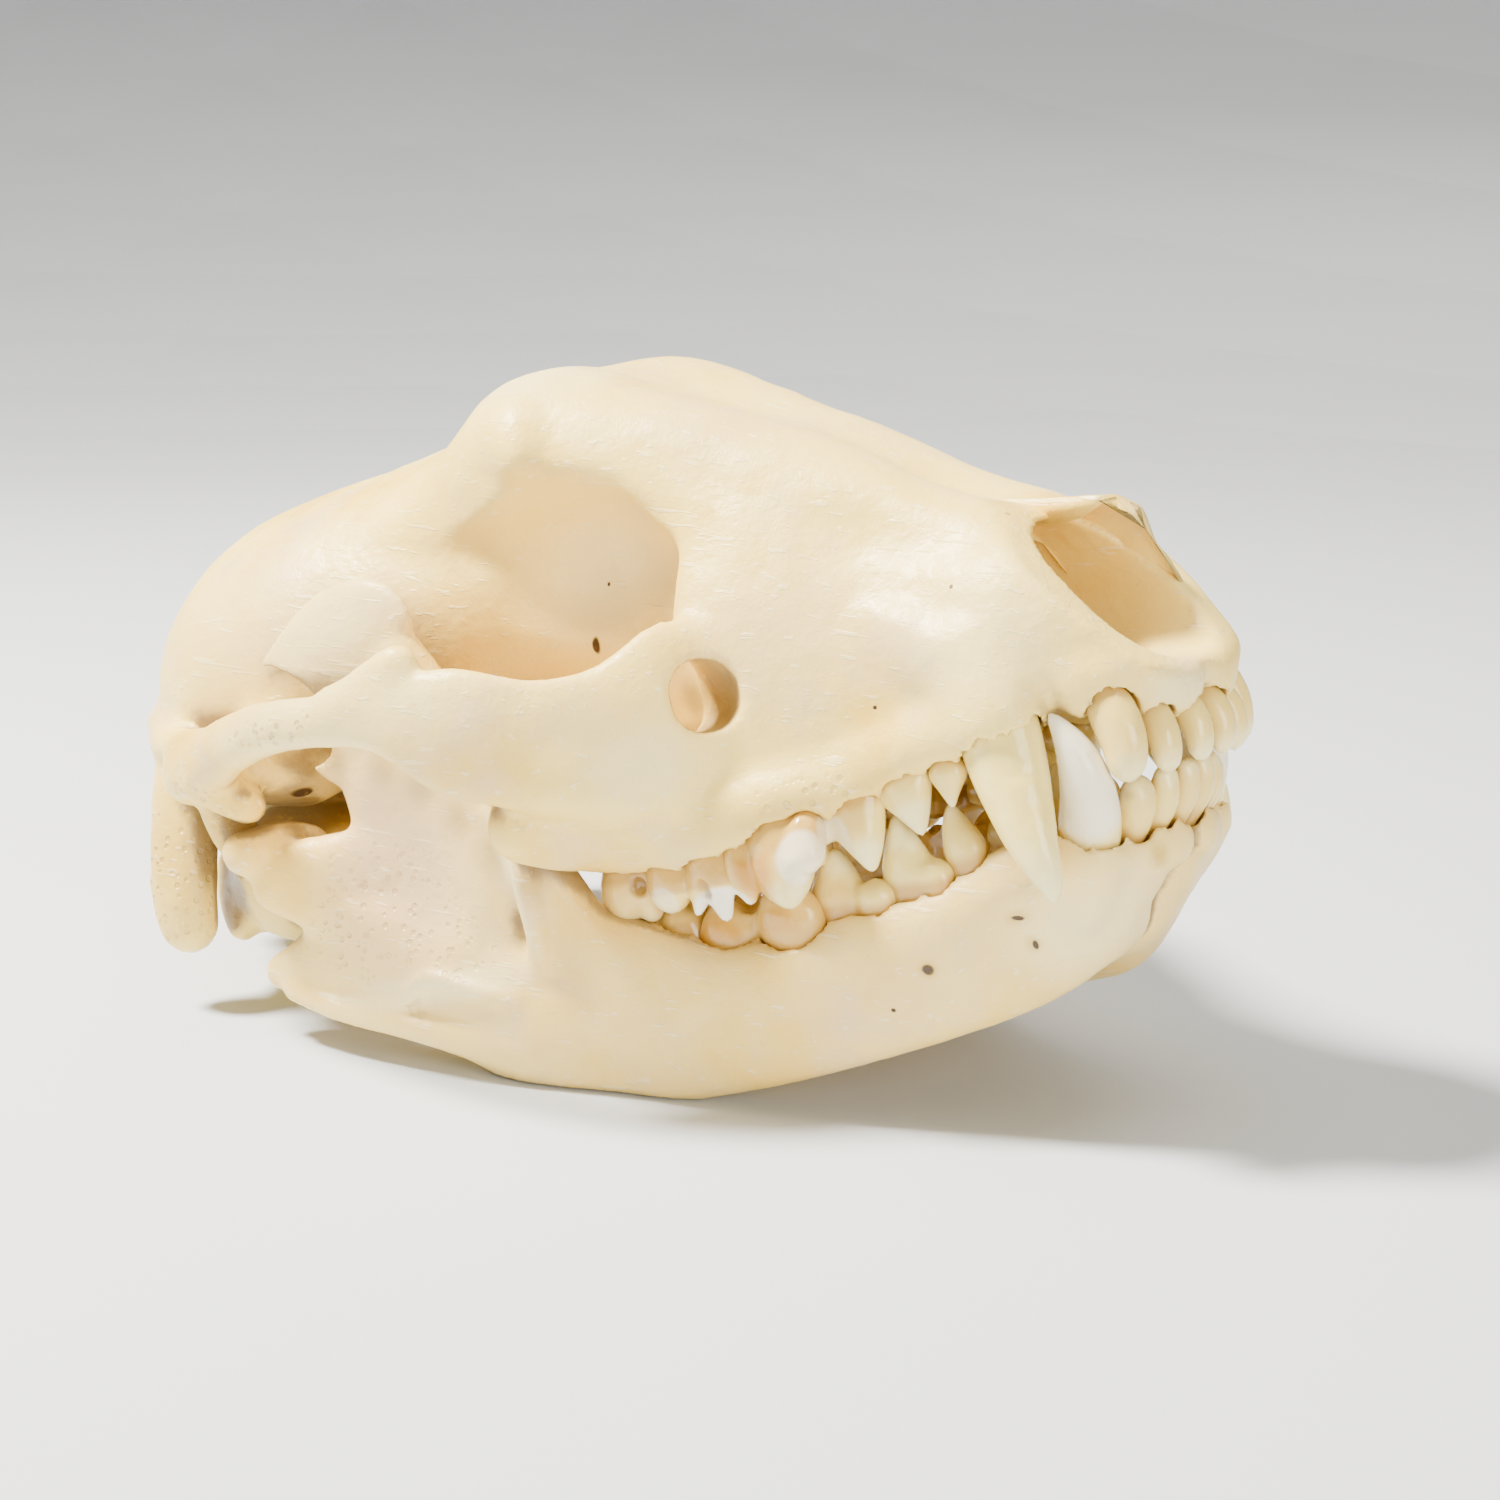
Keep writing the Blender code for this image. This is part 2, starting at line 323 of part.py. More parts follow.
def sweep(rows, up=UP, rings=22, sides=14, power=2.2, round_ends=True, grow=0.0):
    """A flattened ring carried along a path: half height along up, half thickness across,
    turned about the path by the sixth number of a row where there is one."""
    rows = [tuple(r) + (0,) * (6 - len(r)) for r in rows]
    path = along_path(rows, rings)
    centre, high, thick, turn = path[:, :3], path[:, 3] + grow, path[:, 4] + grow, np.radians(path[:, 5])
    ahead = np.gradient(centre, axis=0)
    ahead /= np.linalg.norm(ahead, axis=1)[:, None]
    up = np.asarray(up, float)
    lift = up - ahead * (ahead @ up)[:, None]
    lift /= np.linalg.norm(lift, axis=1)[:, None]
    side = np.cross(ahead, lift)
    lift_turned = lift * np.cos(turn)[:, None] + side * np.sin(turn)[:, None]
    side_turned = side * np.cos(turn)[:, None] - lift * np.sin(turn)[:, None]
    shrink = np.ones(rings)
    if round_ends:
        run = np.concatenate([[0], np.cumsum(np.linalg.norm(np.diff(centre, axis=0), axis=1))])
        half_run = run[-1] / 2
        cap0, cap1 = min(max(high[0], thick[0]), half_run), min(max(high[-1], thick[-1]), half_run)
        shrink = np.sqrt(1 - (1 - np.clip(run / cap0, 0, 1)) ** 2)
        shrink = shrink * np.sqrt(1 - (1 - np.clip((run[-1] - run) / cap1, 0, 1)) ** 2)
        shrink = np.maximum(shrink, 0.05)
    angle = np.linspace(0, 2 * math.pi, sides, endpoint=False)
    across, along = power_arc(np.cos(angle), power), power_arc(np.sin(angle), power)
    return closed(centre[:, None]
                  + lift_turned[:, None] * (high * shrink)[:, None, None] * along[None, :, None]
                  + side_turned[:, None] * (thick * shrink)[:, None, None] * across[None, :, None])


def ball(centre, radii, tilt=0.0, rings=14, sides=18):
    """An ellipsoid, tipped about y."""
    u = np.linspace(0.05, math.pi - 0.05, rings)[:, None]
    v = np.linspace(0, 2 * math.pi, sides, endpoint=False)[None]
    x = radii[0] * np.cos(u) + 0 * v
    y = radii[1] * np.sin(u) * np.cos(v)
    z = radii[2] * np.sin(u) * np.sin(v)
    a = math.radians(tilt)
    turned = np.stack([x * math.cos(a) - z * math.sin(a), y, x * math.sin(a) + z * math.cos(a)], -1)
    return closed(turned + np.asarray(centre, float))


def block(low, high):
    """A box between two corners."""
    x, y, z = zip(low, high)
    ring = [(x[0], y[0]), (x[1], y[0]), (x[1], y[1]), (x[0], y[1])]
    points = np.array([(px, py, pz) for pz in z for px, py in ring], float)
    faces = [(3, 2, 1, 0), (4, 5, 6, 7)]
    faces += [(i, (i + 1) % 4, (i + 1) % 4 + 4, i + 4) for i in range(4)]
    return points, faces


def before_nose_rim():
    """A thick slab in front of and above the slanted rim of the nose opening."""
    low, high = np.array(NOSE_RIM[0]), np.array(NOSE_RIM[1])
    slope = (high - low) / np.linalg.norm(high - low)
    normal = np.array([slope[1], -slope[0]])
    corners = [low - slope * FAR, high + slope * FAR]
    corners += [corners[1] + normal * FAR, corners[0] + normal * FAR]
    points = np.array([(c[0], y, c[1]) for y in (-FAR, FAR) for c in corners])
    faces = [(3, 2, 1, 0), (4, 5, 6, 7)]
    faces += [(i, (i + 1) % 4, (i + 1) % 4 + 4, i + 4) for i in range(4)]
    return points, faces


SINK = 3.0                   # mm that a crown's root goes into the bone
CROWN_SIDES = 10
CROWN_POWER = 2.4            # squareness of a crown seen from above
CROWN_WALL = (0.62, 1.0, 0.93)        # radius at the root, at the swell and at the rim
CROWN_FACE = (0.7, 0.4, 0.08)         # radii of the rings on the biting face
CROWN_SWELL = 0.25           # height of the widest line, as a share of the crown
CROWN_DISH = 0.1             # depth of the biting face, as a share of the crown


def crown(tooth, way, grow=0.0):
    """A cheek tooth: a wall from the root over the swell of the crown, then the biting face,
    which dips in the middle and rises to its cusps. way is 1 for a lower tooth, -1 for an upper."""
    place, size, turn, slope, rim, cusps = tooth
    length, width, height = size[0] + 2 * grow, size[1] + 2 * grow, size[2] + grow
    a, b = length / 2, width / 2
    angle = np.linspace(0, 2 * math.pi, CROWN_SIDES, endpoint=False)[None]
    wall_h = np.array([-SINK, CROWN_SWELL * height, rim * height])[:, None] + 0 * angle
    face_r = np.array(CROWN_FACE)[:, None]
    face_h = rim * height - CROWN_DISH * height * (1 - face_r ** 2) + 0 * angle
    radius = np.array(CROWN_WALL + CROWN_FACE)[:, None]
    u = a * radius * power_arc(np.cos(angle), CROWN_POWER)
    v = b * radius * power_arc(np.sin(angle), CROWN_POWER)
    rise = np.zeros_like(u)
    for along, across, high, reach in cusps:
        away = np.hypot(u - along * a, v - across * b) / (reach * length)
        rise = np.maximum(rise, high * height * np.clip(1 - away, 0, 1))
    weight = (np.arange(len(radius)) > 1)[:, None]
    h = np.concatenate([wall_h, face_h]) + weight * (rise + slope * v / b)
    c, s = math.cos(math.radians(turn)), math.sin(math.radians(turn))
    grid = np.stack([place[0] + u * c - v * s, place[1] + u * s + v * c, place[2] + way * h], -1)
    return closed(grid)


def fang(rows, grow=0.0):
    return sweep(rows, up=FORE, rings=7, sides=8, power=2.0, grow=grow)


# Objects

def mesh_object(name, shape, mirrored=False):
    """A closed mesh object in metres, its faces pointing out."""
    points, faces = shape
    points = np.asarray(points, float) * MM
    if mirrored:
        points = points * (1, -1, 1)
    mesh = bpy.data.meshes.new(name)
    mesh.from_pydata(points.tolist(), [], [list(f) for f in faces])
    bm = bmesh.new()
    bm.from_mesh(mesh)
    bmesh.ops.recalc_face_normals(bm, faces=bm.faces)
    bm.to_mesh(mesh)
    bm.free()
    obj = bpy.data.objects.new(name, mesh)
    bpy.context.scene.collection.objects.link(obj)
    return obj


def both_sides(shapes):
    """Objects for the shapes on the left and for their mirror images on the right."""
    return [mesh_object("form", s, m) for s in shapes for m in (False, True)]


def one_side(shapes, mirrored):
    return [mesh_object("form", s, mirrored) for s in shapes]


def apply_modifiers(obj):
    bpy.context.view_layer.update()
    evaluated = obj.evaluated_get(bpy.context.evaluated_depsgraph_get())
    mesh = bpy.data.meshes.new_from_object(evaluated)
    obj.modifiers.clear()
    old = obj.data
    obj.data = mesh
    bpy.data.meshes.remove(old)


def discard(objects):
    for obj in objects:
        bpy.data.objects.remove(obj)


def fuse(name, forms, smoothing=SMOOTHING):
    """Joins overlapping closed forms into one skin of even grain and rounds the joins."""
    bm = bmesh.new()
    for form in forms:
        bm.from_mesh(form.data)
    mesh = bpy.data.meshes.new(name)
    bm.to_mesh(mesh)
    bm.free()
    discard(forms)
    obj = bpy.data.objects.new(name, mesh)
    bpy.context.scene.collection.objects.link(obj)
    remesh = obj.modifiers.new("fuse", "REMESH")
    remesh.mode = "VOXEL"
    remesh.voxel_size = VOXEL * MM
    smooth = obj.modifiers.new("round", "SMOOTH")
    smooth.factor = 0.5
    smooth.iterations = smoothing
    apply_modifiers(obj)
    return obj


def combine(obj, others, operation, solver="MANIFOLD"):
    """One Boolean of the object with a collection of closed forms, which are then removed."""
    group = bpy.data.collections.new("tools")
    bpy.context.scene.collection.children.link(group)
    for other in others:
        bpy.context.scene.collection.objects.unlink(other)
        group.objects.link(other)
    boolean = obj.modifiers.new(operation.lower(), "BOOLEAN")
    boolean.operation = operation
    boolean.operand_type = "COLLECTION"
    boolean.collection = group
    boolean.solver = solver
    apply_modifiers(obj)
    discard(list(group.objects))
    bpy.data.collections.remove(group)
    keep_largest(obj)


def keep_largest(obj):
    """Keeps the surface with the most volume, so no loose scrap or sealed hollow stays."""
    bm = bmesh.new()
    bm.from_mesh(obj.data)
    bm.verts.ensure_lookup_table()
    unseen = set(range(len(bm.verts)))
    groups = []
    while unseen:
        stack = [unseen.pop()]
        group = []
        while stack:
            i = stack.pop()
            group.append(i)
            for edge in bm.verts[i].link_edges:
                j = edge.other_vert(bm.verts[i]).index
                if j in unseen:
                    unseen.discard(j)
                    stack.append(j)
        groups.append(group)
    groups.sort(key=len, reverse=True)
    loose = [bm.verts[i] for group in groups[1:] for i in group]
    bmesh.ops.delete(bm, geom=loose, context="VERTS")
    bm.to_mesh(obj.data)
    bm.free()


def thin_out(obj, faces):
    """Triangulates and reduces the mesh to about the number of faces given."""
    triangles = sum(len(p.vertices) - 2 for p in obj.data.polygons)
    decimate = obj.modifiers.new("thin", "DECIMATE")
    decimate.ratio = min(1.0, faces / triangles)
    decimate.use_collapse_triangulate = True
    apply_modifiers(obj)
    drop_flaps(obj)


def drop_flaps(obj):
    """Deletes triangles that hang from the skin by one edge."""
    bm = bmesh.new()
    bm.from_mesh(obj.data)
    flaps = [f for f in bm.faces if any(e.is_boundary for e in f.edges)]
    while flaps:
        bmesh.ops.delete(bm, geom=flaps, context="FACES")
        flaps = [f for f in bm.faces if any(e.is_boundary for e in f.edges)]
    bm.to_mesh(obj.data)
    bm.free()


def copy_of(obj, name):
    other = bpy.data.objects.new(name, obj.data.copy())
    bpy.context.scene.collection.objects.link(other)
    return other


def bone_material(name, colour):
    material = bpy.data.materials.new(name)
    material.use_nodes = True
    shader = material.node_tree.nodes["Principled BSDF"]
    shader.inputs["Base Color"].default_value = colour
    shader.inputs["Roughness"].default_value = BONE_ROUGHNESS
    shader.inputs["Metallic"].default_value = 0.0
    return material


# The skull

def swept(forms):
    return [sweep(rows, up) for up, rows in forms.values()]


def make_cranium():
    """Braincase, face and cheek arches in one skin, then hollowed where openings show the inside."""
    whole = [mesh_object("form", loft(form)) for form in
             (BRAINCASE, FOREHEAD, ORBIT_WALL, MUZZLE, PALATE, SKULL_BASE)]
    sides = swept(SNOUT_FORMS) + swept(ARCH_FORMS) + swept(BRAINCASE_FORMS)
    sides += [ball(*EAR_DRUM), ball(*OCCIPITAL_CONDYLE)]
    cranium = fuse("cranium", whole + both_sides(sides))
    hollows = [mesh_object("form", s) for s in (
        sweep(NOSE_PASSAGE, power=2.3, round_ends=False), before_nose_rim(), sweep(SPINE_PASSAGE),
        sweep(THROAT_PASSAGE), loft(BRAIN_CAVITY, 24, 24))]
    hollows += both_sides([sweep(CHEEK_PASSAGE), ball(*EYE_SOCKET), sweep(CONDYLE, grow=CONDYLE_ROOM),
                           sweep(EAR_PASSAGE, rings=12, sides=10), ball(*EAR_CAVITY)])
    combine(cranium, hollows, "DIFFERENCE")
    return cranium


def make_jaw(name, mirrored):
    """One half of the lower jaw with its teeth, cut flat at the chin and where it rests."""
    shapes = [sweep(JAW_BODY, power=2.5, rings=40, sides=18), sweep(CONDYLE)] + swept(JAW_FORMS)
    jaw = fuse(name, one_side(shapes, mirrored))
    middle = block((0, -FAR, -FAR), (FAR, GAP / 2, FAR))
    combine(jaw, one_side([middle, sweep(CHEWING_HOLLOW, FORE)], mirrored), "DIFFERENCE")
    thin_out(jaw, JAW_FACES)
    teeth = [crown(t, 1) for t in LOWER_CROWNS.values()] + [fang(r) for r in LOWER_FANGS.values()]
    combine(jaw, one_side(teeth, mirrored), "UNION")
    above = [crown(t, -1, GAP) for t in UPPER_CROWNS.values()]
    above += [fang(r, GAP) for r in UPPER_FANGS.values()]
    combine(jaw, one_side(above, mirrored), "DIFFERENCE")
    return jaw


def part_cranium(cranium):
    """Thin cuts between occiput, braincase, snout and the two arches."""
    g = GAP / 2
    arches = []
    for name, side in (("zygomatic_arch_left", 1), ("zygomatic_arch_right", -1)):
        arch = copy_of(cranium, name)
        ys = sorted((side * (ROOT_OF_ARCH + g), side * FAR))
        box = block((BACK_OF_ARCH + g, ys[0], -FAR), (FAR, ys[1], FAR))
        combine(arch, [mesh_object("form", box)], "INTERSECT", "EXACT")
        arches.append(arch)
    snout = copy_of(cranium, "snout")
    braincase = copy_of(cranium, "braincase")
    occiput = copy_of(cranium, "occiput")
    rid = []
    for side in (1, -1):
        ys = sorted((side * (ROOT_OF_ARCH - g), side * FAR))
        rid.append(block((BACK_OF_ARCH - g, ys[0], -FAR), (FAR, ys[1], FAR)))
    behind = block((-FAR, -FAR, -FAR), (FRONT_OF_BRAINCASE + g, FAR, FAR))
    ahead = block((FRONT_OF_BRAINCASE - g, -FAR, -FAR), (FAR, FAR, FAR))
    rear = block((-FAR, -FAR, -FAR), (FRONT_OF_OCCIPUT + g, FAR, FAR))
    fore = block((FRONT_OF_OCCIPUT - g, -FAR, -FAR), (FAR, FAR, FAR))
    combine(snout, [mesh_object("form", s) for s in rid + [behind]], "DIFFERENCE")
    combine(braincase, [mesh_object("form", s) for s in rid + [ahead, rear]], "DIFFERENCE")
    combine(occiput, [mesh_object("form", s) for s in rid + [fore]], "DIFFERENCE")
    discard([cranium])
    return occiput, braincase, snout, arches


def set_down(nodes):
    """Pitches the skull nose up, rests it on small flats, and centres its box on the origin."""
    pitch = Matrix.Rotation(-math.radians(PITCH), 4, "Y")
    for node in nodes:
        node.data.transform(pitch)
    floor = min(v.co.z for node in nodes for v in node.data.vertices) + FLAT_DEPTH * MM
    for node in nodes:
        if min(v.co.z for v in node.data.vertices) < floor:
            ground = block((-FAR, -FAR, floor / MM - FAR), (FAR, FAR, floor / MM))
            combine(node, [mesh_object("form", ground)], "DIFFERENCE")
    points = [v.co for node in nodes for v in node.data.vertices]
    low = Vector([min(p[i] for p in points) for i in range(3)])
    high = Vector([max(p[i] for p in points) for i in range(3)])
    shift = Vector((-(low.x + high.x) / 2, -(low.y + high.y) / 2, -low.z))
    for node in nodes:
        node.data.transform(Matrix.Translation(shift))


def main():
    for obj in list(bpy.data.objects):
        bpy.data.objects.remove(obj)
    cranium = make_cranium()
    occiput, braincase, snout, arches = part_cranium(cranium)
    thin_out(occiput, OCCIPUT_FACES)
    thin_out(braincase, BRAINCASE_FACES)
    thin_out(snout, SNOUT_FACES)
    for arch in arches:
        thin_out(arch, ARCH_FACES)
    teeth = [crown(t, -1) for t in UPPER_CROWNS.values()] + [fang(r) for r in UPPER_FANGS.values()]
    combine(snout, both_sides(teeth), "UNION", "EXACT")
    jaws = [make_jaw("mandible_left", False), make_jaw("mandible_right", True)]
    nodes = [occiput, braincase, snout] + arches + jaws
    set_down(nodes)
    bone = bone_material("bone", BONE_COLOUR)
    jaw_bone = bone_material("jaw_bone", JAW_COLOUR)
    for node in nodes:
        node.data.materials.clear()
        node.data.materials.append(jaw_bone if node in jaws else bone)
        node.data.shade_smooth()


main()
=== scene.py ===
# Raccoon skull with its lower jaw, as it rests on a table: the looks.
# All bone forms are laid out in millimetres in the skull's own frame (x forward from the occiput,
# y out to the left, z up from the canine socket) and set down in the frame's metres at the end.
import math

import bpy
import numpy as np
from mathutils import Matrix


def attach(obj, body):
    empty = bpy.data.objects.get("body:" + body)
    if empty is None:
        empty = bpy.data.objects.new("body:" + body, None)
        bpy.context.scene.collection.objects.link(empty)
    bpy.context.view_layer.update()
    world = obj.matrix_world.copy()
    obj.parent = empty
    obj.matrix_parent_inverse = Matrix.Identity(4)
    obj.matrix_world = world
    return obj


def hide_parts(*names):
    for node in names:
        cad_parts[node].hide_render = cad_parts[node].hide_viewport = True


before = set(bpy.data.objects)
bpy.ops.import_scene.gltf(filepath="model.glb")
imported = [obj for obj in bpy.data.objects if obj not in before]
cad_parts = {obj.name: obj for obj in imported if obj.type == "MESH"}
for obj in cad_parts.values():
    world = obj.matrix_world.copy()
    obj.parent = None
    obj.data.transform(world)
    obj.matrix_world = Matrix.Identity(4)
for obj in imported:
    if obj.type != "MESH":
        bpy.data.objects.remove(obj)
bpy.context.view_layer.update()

import openvdb
from mathutils import Vector

print("frame loaded", list(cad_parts))

# How the skull is set down: nose-up pitch in degrees, then a shift in millimetres
setDown = {"pitch": 16.2, "shift": (-53.727, 0.004, 5.016)}

# Grain of the bone and tooth skins in millimetres, how far each level set reaches from its surface,
# and the triangles that each bone is thinned to
skin = {"grain": 0.42, "reach": 3.4, "cranium": 190000, "mandible": 90000}
toothGrain = {"grain": 0.23, "reach": 1.6, "margin": 1}


# Curves and closed surfaces

def hermite(xs, ys, tangent, at):
    # cubic between neighbouring stations with the slopes given there
    i = np.clip(np.searchsorted(xs, at) - 1, 0, len(xs) - 2)
    h = xs[i + 1] - xs[i]
    t = np.clip((at - xs[i]) / h, 0, 1)
    if ys.ndim == 2:
        h, t = h[:, None], t[:, None]
    return ((1 + 2 * t) * (1 - t) ** 2 * ys[i] + t * (1 - t) ** 2 * h * tangent[i]
            + t * t * (3 - 2 * t) * ys[i + 1] - t * t * (1 - t) * h * tangent[i + 1])


def through(xs, ys, at):
    # curve through the stations that never overshoots: slopes are weighted harmonic means
    xs, ys = np.asarray(xs, float), np.asarray(ys, float)
    step = np.diff(xs)
    slope = np.diff(ys) / step
    w1, w2 = 2 * step[1:] + step[:-1], step[1:] + 2 * step[:-1]
    rising = slope[:-1] * slope[1:] > 0
    safe = np.where(rising[:, None], np.stack([slope[:-1], slope[1:]], 1), 1.0)
    tangent = np.zeros_like(ys)
    tangent[1:-1] = np.where(rising, (w1 + w2) / (w1 / safe[:, 0] + w2 / safe[:, 1]), 0)
    tangent[0], tangent[-1] = slope[0], slope[-1]
    return hermite(xs, ys, tangent, at)


def alongPath(rows, count):
    # rows spaced evenly by length along the smooth curve through the rows given
    rows = np.asarray(rows, float)
    run = np.concatenate([[0], np.cumsum(np.linalg.norm(np.diff(rows[:, :3], axis=0), axis=1))])
    return hermite(run, rows, np.gradient(rows, run, axis=0), np.linspace(0, run[-1], count))


def powerArc(wave, power):
    # sign(w) |w|^(2/p): a circle's sine or cosine made squarer as p grows past 2
    return np.sign(wave) * np.abs(wave) ** (2 / power)


def closedRings(grid):
    # quads between neighbouring rings, and a fan of triangles round a middle point at each end
    rings, sides = grid.shape[:2]
    points = np.concatenate([grid.reshape(-1, 3), [grid[0].mean(0)], [grid[-1].mean(0)]])
    r, s = np.arange(rings - 1)[:, None] * sides, np.arange(sides)[None]
    n = (s + 1) % sides
    quads = np.stack([r + s, r + n, r + n + sides, r + s + sides], -1).reshape(-1, 4)
    s, n, last = s[0], n[0], (rings - 1) * sides
    tris = np.concatenate([np.stack([np.full(sides, rings * sides), n, s], -1),
                           np.stack([np.full(sides, rings * sides + 1), last + s, last + n], -1)])
    return facingOut(points, tris, quads)


def facingOut(points, tris, quads):
    # turns all faces round where the volume they enclose comes out negative
    allTris = np.concatenate([tris, quads[:, [0, 1, 2]], quads[:, [0, 2, 3]]])
    a, b, c = (points[allTris[:, k]] for k in range(3))
    if np.einsum("ij,ij->", a, np.cross(b, c)) < 0:
        tris, quads = tris[:, ::-1], quads[:, ::-1]
    return points, tris, quads


def loft(form, rings=70, sides=64):
    # superellipse at each x: y = half cos^(2/p), z = waist + rise sin^(2/p), where the upper and
    # lower arcs have powers of their own; the rings shrink as a quarter circle over each cap
    x0, x1 = form["x"][0], form["x"][-1]
    x = x0 + (x1 - x0) * (0.5 - 0.5 * np.cos(np.linspace(0, math.pi, rings)))
    read = {k: through(form["x"], form[k], x) if np.ndim(form[k]) else np.full(rings, float(form[k]))
            for k in ("half", "top", "bottom", "waist", "topPower", "bottomPower")}
    waist = read["bottom"] + (read["top"] - read["bottom"]) * read["waist"]
    start = np.clip((x - x0) / form["caps"][0], 0, 1)
    end = np.clip((x1 - x) / form["caps"][1], 0, 1)
    shrink = np.maximum(np.sqrt(1 - (1 - start) ** 2) * np.sqrt(1 - (1 - end) ** 2), 0.02)[:, None]
    angle = np.linspace(0, 2 * math.pi, sides, endpoint=False)[None]
    upper = np.sin(angle) > 0
    power = np.where(upper, read["topPower"][:, None], read["bottomPower"][:, None])
    rise = np.where(upper, (read["top"] - waist)[:, None], (waist - read["bottom"])[:, None])
    y = read["half"][:, None] * shrink * powerArc(np.cos(angle), power)
    z = waist[:, None] + rise * shrink * powerArc(np.sin(angle), power)
    return closedRings(np.stack([np.broadcast_to(x[:, None], y.shape), y, z], -1))


def sweep(rows, up="z", rings=48, sides=28, power=2.2, roundEnds=True, grow=0.0):
    # a superellipse carried along a smooth path: point = centre + high sin(a) lift + thick cos(a) side,
    # both drawn in as a quarter circle at the ends; a row is x, y, z, high, thick and a turn in degrees
    path = alongPath([tuple(r) + (0,) * (6 - len(r)) for r in rows], rings)
    centre, turn = path[:, :3], np.radians(path[:, 5])
    high, thick = path[:, 3] + grow, path[:, 4] + grow
    ahead = np.gradient(centre, axis=0)
    ahead /= np.linalg.norm(ahead, axis=1)[:, None]
    upward = np.array({"x": (1, 0, 0), "y": (0, 1, 0), "z": (0, 0, 1)}[up], float)
    lift = upward - ahead * (ahead @ upward)[:, None]
    lift /= np.linalg.norm(lift, axis=1)[:, None]
    side = np.cross(ahead, lift)
    cos, sin = np.cos(turn)[:, None], np.sin(turn)[:, None]
    lift, side = lift * cos + side * sin, side * cos - lift * sin
    shrink = np.ones(rings)
    if roundEnds:
        run = np.concatenate([[0], np.cumsum(np.linalg.norm(np.diff(centre, axis=0), axis=1))])
        cap = [min(max(high[k], thick[k]), run[-1] / 2) for k in (0, -1)]
        shrink = np.sqrt(1 - (1 - np.clip(run / cap[0], 0, 1)) ** 2)
        shrink = np.maximum(shrink * np.sqrt(1 - (1 - np.clip((run[-1] - run) / cap[1], 0, 1)) ** 2), 0.03)
    angle = np.linspace(0, 2 * math.pi, sides, endpoint=False)
    along, across = powerArc(np.sin(angle), power), powerArc(np.cos(angle), power)
    raised = lift[:, None] * (high * shrink)[:, None, None] * along[None, :, None]
    widened = side[:, None] * (thick * shrink)[:, None, None] * across[None, :, None]
    return closedRings(centre[:, None] + raised + widened)


def ball(centre, radii, tilt=0.0, rings=30, sides=40):
    # ellipsoid: x = a cos u, y = b sin u cos v, z = c sin u sin v, tipped about y; u stops short of a pole
    short = 0.03
    u = np.linspace(short, math.pi - short, rings)[:, None]
    v = np.linspace(0, 2 * math.pi, sides, endpoint=False)[None]
    x = radii[0] * np.cos(u) + 0 * v
    y, z = radii[1] * np.sin(u) * np.cos(v), radii[2] * np.sin(u) * np.sin(v)
    c, s = math.cos(math.radians(tilt)), math.sin(math.radians(tilt))
    return closedRings(np.stack([x * c - z * s, y, x * s + z * c], -1) + np.asarray(centre, float))


def slab(corners):
    # a block from its four lower and its four upper corners, each four in the same order
    sides = [(i, (i + 1) % 4, (i + 1) % 4 + 4, i + 4) for i in range(4)]
    quads = np.array([(3, 2, 1, 0), (4, 5, 6, 7)] + sides)
    return facingOut(np.array(corners, float), np.zeros((0, 3), int), quads)


# Level sets: forms are blended and carved as distances, then read back as one skin

def newField(low, high, grain=skin["grain"], reach=skin["reach"]):
    # an empty block of cells, each as far from any surface as the level sets reach
    count = np.ceil((np.asarray(high, float) - low) / grain).astype(int)
    return {"low": np.asarray(low, float) + grain / 2, "grain": grain, "reach": reach,
            "far": np.full(count, reach, np.float32)}


def distances(field, form):
    # distance to the form's surface, below zero inside it, on the part of the field near the form
    points, tris, quads = form
    reach = field["reach"] / field["grain"]
    at = (points - field["low"]) / field["grain"]
    pad = int(math.ceil(reach)) + 1
    low = np.maximum(np.floor(at.min(0)).astype(int) - pad, 0)
    high = np.minimum(np.ceil(at.max(0)).astype(int) + pad, field["far"].shape)
    if (high <= low).any():
        return None, None
    grid = openvdb.FloatGrid.createLevelSetFromPolygons(
        at.astype(np.float32), triangles=tris.astype(np.uint32), quads=quads.astype(np.uint32),
        transform=openvdb.createLinearTransform(1.0), halfWidth=reach)
    out = np.empty(high - low, np.float32)
    grid.copyToArray(out, ijk=tuple(int(k) for k in low))
    return tuple(slice(a, b) for a, b in zip(low, high)), out * field["grain"]


def softMin(a, b, blend, reach):
    # the lesser of two distances, rounded where they differ by less than the blend
    h = np.clip(0.5 + 0.5 * (b - a) / max(blend, 1e-6), 0, 1)
    sure = reach * 0.97  # cells further off hold the reach and no distance of their own
    near = (a < sure) & (b < sure)
    return np.where(near, b * (1 - h) + a * h - blend * h * (1 - h), np.minimum(a, b))


def add(field, form, blend):
    # melts a form into the field
    place, far = distances(field, form)
    if place is not None:
        field["far"][place] = softMin(field["far"][place], far, blend, field["reach"])


def carve(field, form, blend):
    # takes a form out of the field: the same blend with inside and outside swapped
    place, far = distances(field, form)
    if place is not None:
        field["far"][place] = -softMin(-field["far"][place], far, blend, field["reach"])


def fieldMesh(field, mirrored):
    # the zero surface as points and quads; a half field is mirrored across y first
    far, low, grain = field["far"], field["low"].copy(), field["grain"]
    if mirrored:
        low[1] = -(far.shape[1] - 1) * grain - low[1]
        far = np.concatenate([far[:, ::-1], far], 1)
    grid = openvdb.FloatGrid(field["reach"])
    grid.copyFromArray(np.ascontiguousarray(far, np.float32), ijk=(0, 0, 0))
    points, tris, quads = grid.convertToPolygons(isovalue=0.0, adaptivity=0.0)
    return points * grain + low, quads


# Points of a skin: noise, normals and soft spots

